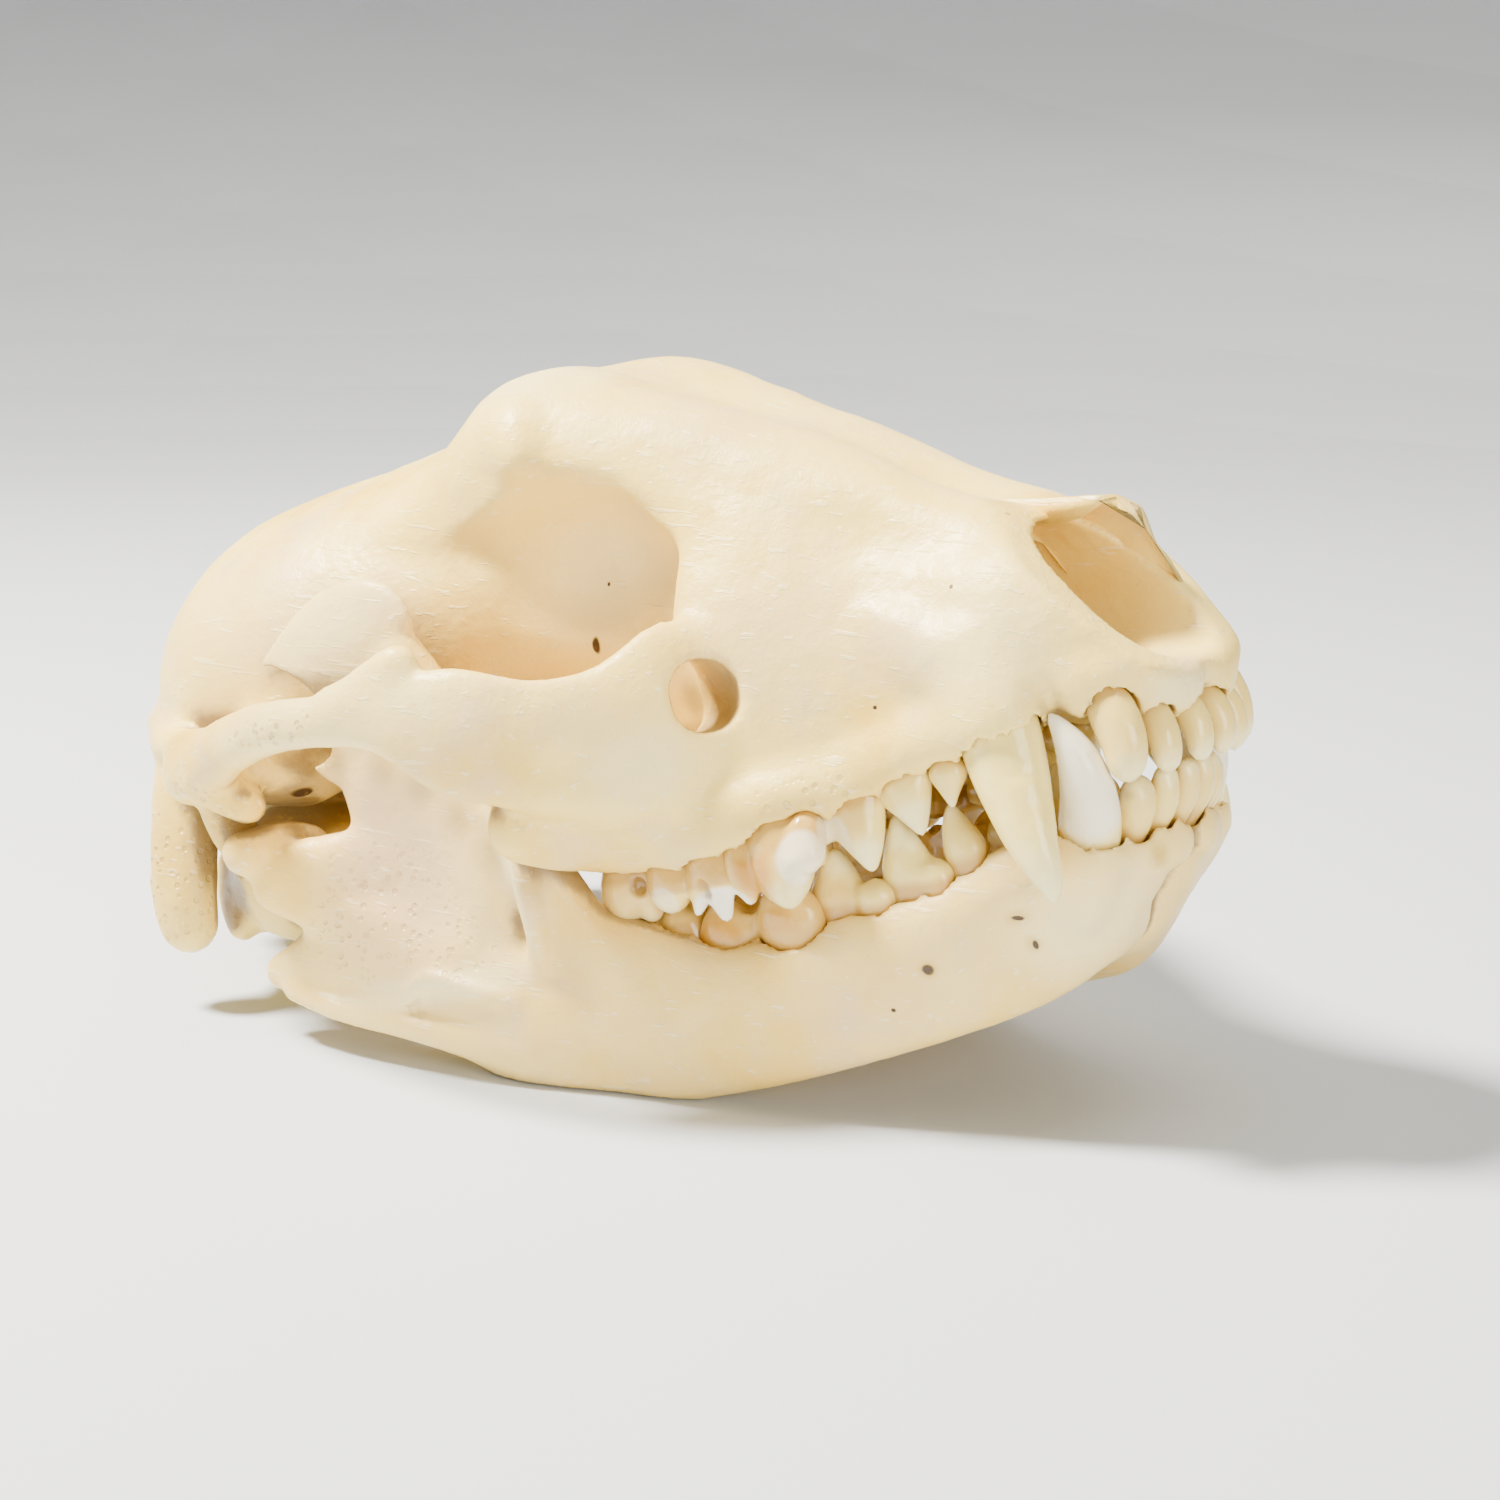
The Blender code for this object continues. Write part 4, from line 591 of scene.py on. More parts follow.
lowerTeeth = {
    "molar2": {
        "blend": 0.8,
        "crown": ((65.2, 15.4, -10.6), (7.8, 4.8, 3.2), 4, -0.3, [
            (0.5, -0.5, 0.4, 0.35), (-0.4, -0.5, 0.35, 0.35)]),
        "cusps": [
            [(67.4, 15.6, -13.6, 1.6, 1.3), (67.4, 16.3, -10.8, 2.4, 1.8), (67.3, 16.4, -9, 1.7, 1.4),
             (67.3, 16.3, -7.9, 0.4, 0.4)],
            [(63.6, 15.8, -12.4, 1.3, 1.1), (63.6, 16.5, -9.6, 2, 1.6), (63.5, 16.5, -8.2, 1.3, 1.2),
             (63.5, 16.5, -7.2, 0.4, 0.4)]]},
    "molar1": {
        "blend": 0.7,
        "crown": ((74.2, 14.8, -12.4), (9.6, 5, 4.4), -6, -0.3, [
            (0.75, 0, 0.3, 0.3), (0.3, -0.5, 0.5, 0.3), (-0.5, -0.5, 0.4, 0.32)]),
        "cusps": [
            [(78.2, 15, -15, 1.9, 1.4), (78.3, 15.9, -12, 3.1, 2), (78.3, 16.1, -10, 3, 1.9),
             (78.2, 16, -8.4, 1.8, 1.3), (78.2, 15.9, -7.4, 0.5, 0.5)],
            [(71.8, 15.2, -15.8, 1.8, 1.4), (71.8, 16, -13, 2.8, 2), (71.8, 16.3, -11, 2.8, 1.9),
             (71.8, 16.2, -9.2, 1.6, 1.3), (71.8, 16.1, -8.1, 0.5, 0.5)]]},
    "premolar4": {
        "blend": 0.9,
        "cusps": [
            [(81.2, 13.2, -15, 2, 1.3), (81.6, 13.4, -11.6, 2.5, 1.9), (81.8, 13.4, -9.4, 2.4, 1.9),
             (82.1, 13.4, -7.6, 1.5, 1.3), (82.3, 13.4, -6, 0.4, 0.4)],
            [(85.1, 13.3, -13.6, 1.3, 1.2), (85.4, 13.5, -11, 1.9, 1.6), (85.6, 13.6, -9.7, 1.6, 1.4),
             (85.7, 13.6, -8.9, 0.7, 0.7)]]},
    "premolar3": {
        "blend": 0.9,
        "cusps": [
            [(87.6, 12, -14, 1.7, 1.1), (88.2, 12.1, -10.6, 2.4, 1.6), (88.2, 12.1, -8.6, 2.4, 1.6),
             (88.2, 12.2, -6.4, 1.5, 1.2), (88.2, 12.3, -4.2, 0.3, 0.3)],
            [(90.6, 11.8, -13, 1.1, 1), (90.8, 12, -10.4, 1.5, 1.4), (91, 12.1, -9, 1.2, 1.2),
             (91.1, 12.1, -8.3, 0.5, 0.6)]]},
    "premolar2": {
        "blend": 0.3,
        "cusps": [
            [(92.8, 10.8, -13, 1.2, 1), (93.2, 10.9, -9.6, 1.7, 1.2), (93.2, 10.9, -8, 1.9, 1.4),
             (92.9, 11, -6, 1.2, 1.1), (92.8, 11.1, -4.2, 0.25, 0.3)]]},
    "canine": {
        "blend": 0.3,
        "cusps": [
            [(98.6, 7.4, -15.5, 1.6, 1.4), (101.2, 7.8, -12, 2.2, 1.8), (103.3, 8.3, -8.8, 2.6, 2.1),
             (104.6, 9.2, -5.4, 2.35, 1.9), (104.8, 10.1, -2, 1.6, 1.45), (103.7, 10.8, 1.5, 0.3, 0.3)]]},
    "incisor3": {
        "blend": 0.3,
        "cusps": [
            [(101.8, 4.6, -13, 0.9, 0.8), (104.8, 5.2, -9.8, 1.3, 1.2), (106.6, 5.6, -7, 1.6, 1.5),
             (107.2, 5.6, -4.9, 0.9, 1.2)]]},
    "incisor2": {
        "blend": 0.3,
        "cusps": [
            [(102.6, 2.9, -13, 0.8, 0.7), (105.9, 3.2, -9.6, 1.1, 1), (107.9, 3.4, -6.8, 1.3, 1.15),
             (108.6, 3.4, -4.7, 0.65, 0.95)]]},
    "incisor1": {
        "blend": 0.3,
        "cusps": [
            [(103.2, 1.1, -13, 0.7, 0.6), (106.6, 1.15, -9.6, 1, 0.9), (108.7, 1.2, -6.6, 1.2, 1.05),
             (109.4, 1.2, -4.6, 0.6, 0.85)]]}}
sockets = {"room": 0.28, "blend": 0.2}

# Crown: how deep it is sunk, the wall's share of the radius at the root, the gum, a third of the height and
# the rim, the rim's height, how wide a lobe is as an angle, and how far the wall stands out at a lobe
crownShape = {
    "sink": 4.0, "wall": (0.55, 0.8, 1.0, 0.93), "rim": 0.62, "square": 2.4, "dish": 0.1,
    "lobeWidth": 0.38, "between": 0.8, "lobe": 0.24, "middle": 0.06}


def crown(tooth, way, grow=0.0, rings=15, sides=36):
    # wall: radius swells from the root to a third of the height and draws in to the rim, fuller by
    # a bell curve of the angle beside each cusp;
    # biting face: height = rim - dish (1 - r^2) + the highest cone of the cusps + slope across
    place, size, turn, slope, cusps = tooth
    length, width, height = size[0] + 2 * grow, size[1] + 2 * grow, size[2] + grow
    a, b = length / 2, width / 2
    sink, rim, wall = crownShape["sink"], crownShape["rim"], crownShape["wall"]
    angle = np.linspace(0, 2 * math.pi, sides, endpoint=False)[None]
    wallH = np.linspace(-sink, height * rim, rings)[:, None]
    wallR = np.interp(wallH, [-sink, -0.2, height * 0.3, height * rim], wall)
    faceR = np.linspace(wall[3], crownShape["middle"], rings)[:, None]
    faceH = height * rim - crownShape["dish"] * height * (1 - (faceR / wall[3]) ** 2)
    radius, h = np.concatenate([wallR, faceR]), np.concatenate([wallH, faceH]) + 0 * angle
    lobes = np.zeros_like(angle)
    for along, across, high, reach in cusps:
        off = np.abs((angle - math.atan2(across, along) + math.pi) % (2 * math.pi) - math.pi)
        lobes = np.maximum(lobes, np.exp(-(off / crownShape["lobeWidth"]) ** 2))
    fuller = crownShape["between"] + crownShape["lobe"] * lobes
    u = a * radius * powerArc(np.cos(angle), crownShape["square"]) * fuller
    v = b * radius * powerArc(np.sin(angle), crownShape["square"]) * fuller
    rise = np.zeros_like(u)
    for along, across, high, reach in cusps:
        away = np.hypot(u - along * a, v - across * b) / (reach * length)
        rise = np.maximum(rise, high * height * np.clip(1 - away, 0, 1))
    weight = np.concatenate([np.clip((wallH - height * 0.25) / (height * 0.3), 0, 1), np.ones_like(faceR)])
    h = h + weight * (rise + slope * v / b)
    c, s = math.cos(math.radians(turn)), math.sin(math.radians(turn))
    grid = np.stack([place[0] + u * c - v * s, place[1] + u * s + v * c, place[2] + way * h], -1)
    return closedRings(grid)


def toothForms(tooth, way, grow=0.0):
    # the crown, where the tooth has one, and each cusp as a tapering sweep of its own
    forms = [crown(tooth["crown"], way, grow)] if "crown" in tooth else []
    return forms + [sweep(rows, up="x", rings=30, sides=24, power=2.0, grow=grow) for rows in tooth["cusps"]]


def toothSkin(tooth, way):
    # crown and cusps melted into one skin, with the decayed pits hollowed out
    forms = toothForms(tooth, way)
    every = np.concatenate([form[0] for form in forms])
    margin = toothGrain["margin"]
    field = newField(every.min(0) - margin, every.max(0) + margin, toothGrain["grain"], toothGrain["reach"])
    for form in forms:
        add(field, form, tooth["blend"])
    for centre, radii in tooth.get("pits", ()):
        carve(field, ball(centre, radii), sockets["blend"])
    points, quads = fieldMesh(field, False)
    return facingOut(points, np.zeros((0, 3), int), quads)


def cutSockets(field, teeth, way):
    for tooth in teeth.values():
        for form in toothForms(tooth, way, sockets["room"]):
            carve(field, form, sockets["blend"])


def noseRimBlock():
    # a thick slab in front of and above the slanted rim of the nose opening
    low, high = (np.array(p, float) for p in hollows["noseRim"][1:])
    size = hollows["noseRimSize"]
    slope = (high - low) / np.linalg.norm(high - low)
    normal = np.array([slope[1], -slope[0]])
    inner = (low - slope * size, high + slope * size)
    outer = (high + slope * size + normal * size, low - slope * size + normal * size)
    return slab([(c[0], y, c[1]) for y in (-size, size) for c in inner + outer])


def craniumField():
    # the left half: everything added, then the hollows, the jaw joint and the tooth sockets taken out
    field = newField((-2, 0, -30), (118, 41, 45))
    for blend, form in cranium["lofts"].values():
        add(field, loft(form), blend)
    for up, blend, rows in cranium["sweeps"].values():
        add(field, sweep(rows, up), blend)
    for centre, radii, tilt, blend in cranium["balls"].values():
        add(field, ball(centre, radii, tilt), blend)
    blend, rows = hollows["nosePassage"]
    carve(field, sweep(rows, power=2.3, roundEnds=False), blend)
    carve(field, noseRimBlock(), hollows["noseRim"][0])
    for name in ("cheekPassage", "spinePassage", "throatPassage", "earPassage", "incisorPassage"):
        blend, rows = hollows[name]
        carve(field, sweep(rows, up="y" if name == "incisorPassage" else "z"), blend)
    for name in ("eyeSocket", "brain"):
        centre, radii, tilt, blend = hollows[name]
        carve(field, ball(centre, radii, tilt), blend)
    carve(field, sweep(jaw["condyle"], grow=jaw["jointRoom"]), jaw["jointBlend"])
    cutSockets(field, upperTeeth, -1)
    return field


def jawField():
    # the left half of the jaw, cut off just past the middle
    field = newField((20, -0.4, -30), (118, 38, 32))
    add(field, sweep(jaw["body"], power=2.5, rings=80), 0)
    for up, blend, rows in jaw["sweeps"].values():
        add(field, sweep(rows, up, power=2.3), blend)
    add(field, sweep(jaw["condyle"]), 1.0)
    carve(field, sweep(jaw["chewingHollow"], "x"), 1.5)
    centre, radii, tilt, blend = jaw["rearNotch"]
    carve(field, ball(centre, radii, tilt), blend)
    plan = ((0, -20), (130, -20), (130, jaw["middle"]), (0, jaw["middle"]))
    carve(field, slab([(x, y, z) for z in (-40, 40) for x, y in plan]), 0.2)
    cutSockets(field, lowerTeeth, 1)
    return field


# How far out openness looks, and the share of the light that a wall there takes; where little is open, the
# bone's colour is darkened as painted shade
freeSteps = ((2.4, 1.0), (3.2, 0.45), (6.5, 0.75))


def openness(fields, points, normals):
    # how free the space is a short way out from the skin: 1 on open bone, 0 in a narrow gap or under
    # overhanging bone; it is the mask of the painted shade in the bone's colour
    free = np.ones(len(points))
    for step, share in freeSteps:
        at = points + normals * step
        for field in fields:
            near = at.copy()
            near[:, 1] = np.abs(near[:, 1]) if field["low"][1] > -2 else near[:, 1]
            i = ((near - field["low"]) / field["grain"]).round().astype(int)
            i = np.clip(i, 0, np.array(field["far"].shape) - 1)
            far = np.clip(field["far"][i[:, 0], i[:, 1], i[:, 2]] / min(step, field["reach"]), 0, 1)
            free = np.minimum(free, 1 - share * (1 - far))
    return free


# Parts of the materials

def socketSet(tree, name, kind, isInput):
    tree.interface.new_socket(name=name, in_out="INPUT" if isInput else "OUTPUT", socket_type=kind)


def noiseNode(tree, vector, scale, detail, rough):
    node = tree.nodes.new("ShaderNodeTexNoise")
    node.inputs["Scale"].default_value = scale
    node.inputs["Detail"].default_value = detail
    node.inputs["Roughness"].default_value = rough
    tree.links.new(vector, node.inputs["Vector"])
    return node.outputs["Fac"]


def ramp(tree, value, low, high, bottom=0.0, top=1.0):
    node = tree.nodes.new("ShaderNodeMapRange")
    node.interpolation_type = "SMOOTHSTEP"
    for key, number in (("From Min", low), ("From Max", high), ("To Min", bottom), ("To Max", top)):
        node.inputs[key].default_value = number
    tree.links.new(value, node.inputs["Value"])
    return node.outputs["Result"]


def math2(tree, operation, a, b):
    node = tree.nodes.new("ShaderNodeMath")
    node.operation = operation
    for k, value in enumerate((a, b)):
        if isinstance(value, (int, float)):
            node.inputs[k].default_value = value
        else:
            tree.links.new(value, node.inputs[k])
    return node.outputs[0]


def mixColour(tree, mask, a, b):
    # a where the mask is 0 and b where it is 1; colours are node outputs or plain tuples
    node = tree.nodes.new("ShaderNodeMix")
    node.data_type, node.blend_type = "RGBA", "MIX"
    for key, value in (("Factor", mask), ("A", a), ("B", b)):
        target = [s for s in node.inputs if s.name == key and s.enabled][0]
        if isinstance(value, (int, float)):
            target.default_value = value
        elif isinstance(value, tuple):
            target.default_value = value + (1.0,)
        else:
            tree.links.new(value, target)
    return [s for s in node.outputs if s.enabled][0]


def attribute(tree, name):
    node = tree.nodes.new("ShaderNodeAttribute")
    node.attribute_name = name
    return node.outputs["Fac"]


def cover(tree, colour, mask, over, share):
    # the colour with another over it, by the mask times a share
    return mixColour(tree, math2(tree, "MULTIPLY", mask, share), colour, over)


def newMaterial(name, roughness):
    material = bpy.data.materials.new(name)
    material.use_nodes = True
    tree = material.node_tree
    shader = tree.nodes["Principled BSDF"]
    shader.inputs["Roughness"].default_value = roughness
    return material, tree, shader


def bumped(tree, shader, height, strength, distance):
    bump = tree.nodes.new("ShaderNodeBump")
    bump.inputs["Strength"].default_value = strength
    bump.inputs["Distance"].default_value = distance
    tree.links.new(height, bump.inputs["Height"])
    tree.links.new(bump.outputs["Normal"], shader.inputs["Normal"])


def translucent(shader, weight, radius, scale):
    shader.inputs["Subsurface Weight"].default_value = weight
    shader.inputs["Subsurface Radius"].default_value = radius
    shader.inputs["Subsurface Scale"].default_value = scale


# Noise of dry bone: scale, detail, roughness, and the values at which the mask starts and is full
boneNoise = {"Patches": (55, 4, 0.6, 0.48, 0.72), "Tints": (95, 3, 0.55, 0.5, 0.75),
             "Speckle": (1500, 2, 0.5, 0.62, 0.8)}
boneRelief = {"fine": (900, 4, 0.65, 0.6), "coarse": (260, 3, 0.6, 0.8)}  # the last is the height's share


def weatherGroup():
    # patches, speckle and fine relief of dry bone, on Object coordinates in metres
    tree = bpy.data.node_groups.new("dryBone", "ShaderNodeTree")
    socketSet(tree, "Vector", "NodeSocketVector", True)
    for name in list(boneNoise) + ["Relief"]:
        socketSet(tree, name, "NodeSocketFloat", False)
    start, end = tree.nodes.new("NodeGroupInput"), tree.nodes.new("NodeGroupOutput")
    vector = start.outputs["Vector"]
    for name, (scale, detail, rough, low, high) in boneNoise.items():
        spots = noiseNode(tree, vector, scale, detail, rough)
        tree.links.new(ramp(tree, spots, low, high), end.inputs[name])
    fine, coarse = (math2(tree, "MULTIPLY", noiseNode(tree, vector, scale, detail, rough), share)
                    for scale, detail, rough, share in boneRelief.values())
    tree.links.new(math2(tree, "ADD", fine, coarse), end.inputs["Relief"])
    return tree


def pitGroup():
    # 1 inside an ellipsoid on either side of the skull: length of (|vector| - centre) times the scale
    tree = bpy.data.node_groups.new("pit", "ShaderNodeTree")
    for name in ("Vector", "Centre", "Scale"):
        socketSet(tree, name, "NodeSocketVector", True)
    socketSet(tree, "Mask", "NodeSocketFloat", False)
    start, end = tree.nodes.new("NodeGroupInput"), tree.nodes.new("NodeGroupOutput")
    steps = [tree.nodes.new("ShaderNodeVectorMath") for k in range(3)]
    for node, operation, name in zip(steps, ("SUBTRACT", "MULTIPLY", "LENGTH"), ("Centre", "Scale", None)):
        node.operation = operation
        if name:
            tree.links.new(start.outputs[name], node.inputs[1])
    tree.links.new(start.outputs["Vector"], steps[0].inputs[0])
    tree.links.new(steps[0].outputs["Vector"], steps[1].inputs[0])
    tree.links.new(steps[1].outputs["Vector"], steps[2].inputs[0])
    tree.links.new(ramp(tree, steps[2].outputs["Value"], 1, 0.6), end.inputs["Mask"])
    return tree


dryBone, pit = weatherGroup(), pitGroup()


# Scratches are noise stretched along one direction, pores the cells of a Voronoi texture; a share is how
# far a colour covers the one below, and heights are in units of the relief
boneFinish = {
    # the crevice range: the openness at which the painted shade, with some grime, starts and is full
    "stainAndShade": (0.9, 0.35), "creviceShadeAndGrime": (0.78, 0.14), "speckleShare": 0.3,
    "scratchTurn": (0.3, 0.5, 0.7), "scratchStretch": (0.07, 1, 1), "scratchNoise": (1700, 2, 0.5),
    "scratch": (0.62, 0.7), "scratchShare": 0.35, "scratchHeight": 0.25,
    "poreScale": 1050, "pore": (0.36, 0.18), "poreShare": 0.35, "poreDepth": 1.8,
    "gloss": (-0.08, 0.14), "bump": 0.5, "depth": (0.08, (1.0, 0.6, 0.35), 0.0012)}


def holeMask(tree, coords, holes):
    # 1 in any of the holes, each a pit on both sides of the skull, with y folded over the middle; the holes
    # are small foramina painted dark as shade
    split = tree.nodes.new("ShaderNodeSeparateXYZ")
    tree.links.new(coords, split.inputs["Vector"])
    folded = tree.nodes.new("ShaderNodeCombineXYZ")
    for axis in "XYZ":
        value = split.outputs[axis]
        tree.links.new(math2(tree, "ABSOLUTE", value, 0) if axis == "Y" else value, folded.inputs[axis])
    hollow = 0.0
    for centre, radii in holes:
        node = tree.nodes.new("ShaderNodeGroup")
        node.node_tree = pit
        node.inputs["Centre"].default_value = toRow(np.array([centre], float))[0]
        node.inputs["Scale"].default_value = [1000 / r for r in radii]
        tree.links.new(folded.outputs["Vector"], node.inputs["Vector"])
        hollow = math2(tree, "MAXIMUM", node.outputs["Mask"], hollow)
    return hollow


def scratches(tree, coords):
    along = tree.nodes.new("ShaderNodeMapping")
    along.inputs["Rotation"].default_value = boneFinish["scratchTurn"]
    along.inputs["Scale"].default_value = boneFinish["scratchStretch"]
    tree.links.new(coords, along.inputs["Vector"])
    lines = noiseNode(tree, along.outputs["Vector"], *boneFinish["scratchNoise"])
    return ramp(tree, lines, *boneFinish["scratch"])


def boneMaterial(name, look, holes):
    # patches and tints, then the marks (stains, some of them painted shade), scratches, painted shade in
    # crevices, pores, and passages and holes painted dark as shade, each over the last
    material, tree, shader = newMaterial(name, look["roughness"])
    coords = tree.nodes.new("ShaderNodeTexCoord").outputs["Object"]
    group = tree.nodes.new("ShaderNodeGroup")
    group.node_tree = dryBone
    tree.links.new(coords, group.inputs["Vector"])
    patches, tints, speckle, relief = (group.outputs[k] for k in ("Patches", "Tints", "Speckle", "Relief"))
    colour = cover(tree, look["base"], patches, look["warm"], look["patchShare"])
    colour = cover(tree, colour, tints, look["tint"], look["tintShare"])
    # stains, and painted shade in the nose, the infraorbital foramen, the mouth and under the cheek arch,
    # roughened by the relief
    uneven = math2(tree, "MULTIPLY", relief, boneFinish["stainAndShade"][0])
    uneven = math2(tree, "ADD", uneven, boneFinish["stainAndShade"][1])
    stainAndShade = math2(tree, "MULTIPLY", attribute(tree, "stainAndShade"), uneven)
    colour = mixColour(tree, stainAndShade, colour, look["stainAndShade"])
    colour = mixColour(tree, attribute(tree, "pale"), colour, look["pale"])
    colour = mixColour(tree, attribute(tree, "rosy"), colour, look["rosy"])
    scratch = scratches(tree, coords)
    colour = cover(tree, colour, scratch, look["scratch"], boneFinish["scratchShare"])
    # painted shade, with some grime: darker brown where the openness is low, in crevices and under
    # overhanging bone
    creviceShadeAndGrime = ramp(tree, attribute(tree, "open"), *boneFinish["creviceShadeAndGrime"])
    colour = cover(tree, colour, creviceShadeAndGrime, look["creviceShadeAndGrime"], look["creviceShadeAndGrimeShare"])
    pores = tree.nodes.new("ShaderNodeTexVoronoi")
    pores.inputs["Scale"].default_value = boneFinish["poreScale"]
    tree.links.new(coords, pores.inputs["Vector"])
    dots = ramp(tree, pores.outputs["Distance"], *boneFinish["pore"])
    porous = math2(tree, "MULTIPLY", attribute(tree, "porous"), dots)
    colour = cover(tree, colour, porous, look["pore"], boneFinish["poreShare"])
    # painted shade: the spots in passages and the mouth, and the small holes, coloured near black
    colour = mixColour(tree, attribute(tree, "deepShade"), colour, look["deepShade"])
    hollow = holeMask(tree, coords, holes)
    colour = mixColour(tree, hollow, colour, look["deepShade"])
    colour = cover(tree, colour, speckle, look["warm"], boneFinish["speckleShare"])
    tree.links.new(colour, shader.inputs["Base Color"])
    shine, dull = (look["roughness"] + step for step in boneFinish["gloss"])
    tree.links.new(ramp(tree, relief, 0.4, 1.0, shine, dull), shader.inputs["Roughness"])
    raised = math2(tree, "ADD", relief, math2(tree, "MULTIPLY", scratch, boneFinish["scratchHeight"]))
    sunk = math2(tree, "MULTIPLY", math2(tree, "MAXIMUM", porous, hollow), boneFinish["poreDepth"])
    bumped(tree, shader, math2(tree, "SUBTRACT", raised, sunk), boneFinish["bump"], look["reliefDepth"])
    translucent(shader, *boneFinish["depth"])
    return material


# Shares of the crown's height at which the neck's and the tip's colours start and are full, and the streaks
enamelFinish = {
    "neck": (0.3, 0.05), "tip": (0.62, 0.98), "streakNoise": (700, 3, 0.6), "streak": (0.5, 0.75),
    "streakShare": 0.35, "dull": 0.2, "reliefNoise": (600, 3, 0.6), "bump": (0.3, 0.00015),
    "coat": (0.25, 0.15), "depth": (0.1, (1.0, 0.7, 0.4), 0.001)}


def enamelMaterial(look):
    # body to amber by tooth, darker at the neck and paler at the tip, then streaks, white and decay
    material, tree, shader = newMaterial("toothEnamel", look["roughness"])
    coords = tree.nodes.new("ShaderNodeTexCoord").outputs["Object"]
    height, tone, decay = attribute(tree, "crownHeight"), attribute(tree, "tone"), attribute(tree, "decay")
    body = mixColour(tree, tone, look["body"], look["amber"])
    colour = mixColour(tree, ramp(tree, height, *enamelFinish["neck"]), body, look["neck"])
    tip = math2(tree, "MULTIPLY", ramp(tree, height, *enamelFinish["tip"]), math2(tree, "SUBTRACT", 1, tone))
    colour = mixColour(tree, tip, colour, look["tip"])
    streak = ramp(tree, noiseNode(tree, coords, *enamelFinish["streakNoise"]), *enamelFinish["streak"])
    colour = cover(tree, colour, streak, look["streak"], enamelFinish["streakShare"])
    colour = mixColour(tree, attribute(tree, "white"), colour, look["white"])
    colour = mixColour(tree, decay, colour, look["decay"])
    tree.links.new(colour, shader.inputs["Base Color"])
    dull = look["roughness"] + enamelFinish["dull"]
    tree.links.new(ramp(tree, streak, 0, 1, look["roughness"], dull), shader.inputs["Roughness"])
    bumped(tree, shader, noiseNode(tree, coords, *enamelFinish["reliefNoise"]), *enamelFinish["bump"])
    coat, coatRoughness = enamelFinish["coat"]
    shader.inputs["Coat Weight"].default_value = coat
    shader.inputs["Coat Roughness"].default_value = coatRoughness
    translucent(shader, *enamelFinish["depth"])
    return material


# crevice is painted shade with some grime, deep is painted shade near black, and stain colours both real
# stains and painted shade
craniumLook = {
    "base": (0.95, 0.71, 0.19), "warm": (0.88, 0.56, 0.06), "patchShare": 0.85,
    "tint": (0.76, 0.57, 0.32), "tintShare": 0.7, "stainAndShade": (0.66, 0.42, 0.06), "pale": (0.96, 0.84, 0.48),
    "rosy": (0.80, 0.58, 0.33), "creviceShadeAndGrime": (0.27, 0.17, 0.06), "creviceShadeAndGrimeShare": 0.9,
    "pore": (0.46, 0.27, 0.10), "deepShade": (0.06, 0.03, 0.01), "scratch": (0.97, 0.88, 0.60),
    "roughness": 0.38, "reliefDepth": 0.00034}
# the jaw's rosy is darker than the cranium's: partly the ramus's pinkish-grey tone, partly painted shade
# under the cheek arch
jawLook = dict(craniumLook, base=(0.94, 0.69, 0.23), rosy=(0.72, 0.49, 0.26), patchShare=0.7)
enamelLook = {
    "body": (0.96, 0.78, 0.24), "amber": (0.58, 0.27, 0.015), "neck": (0.62, 0.38, 0.08),
    "tip": (0.97, 0.86, 0.44), "streak": (0.76, 0.48, 0.12), "decay": (0.22, 0.10, 0.02),
    "white": (0.98, 0.93, 0.80), "roughness": 0.2}


# Marks on the bone, in the skull's own frame, as (centre, half axes, strength). A spot lies only where it
# is given, and the right side is -y; a hole, as (centre, half axes), lies on both sides. The holes and the
# near-black spots in passages and the mouth are painted shade, as are some of the stains.

def boneMasks(points, marks, free):
    # every mask the bone material reads, each from 0 to 1
    masks = {"open": free}
    for kind in ("stainAndShade", "pale", "rosy", "porous", "deepShade"):
        masks[kind] = np.zeros(len(points))
        for centre, radius, strength in marks["spots"].get(kind, ()):
            masks[kind] = np.maximum(masks[kind], strength * blob(points, centre, radius, 0.8))
    return masks


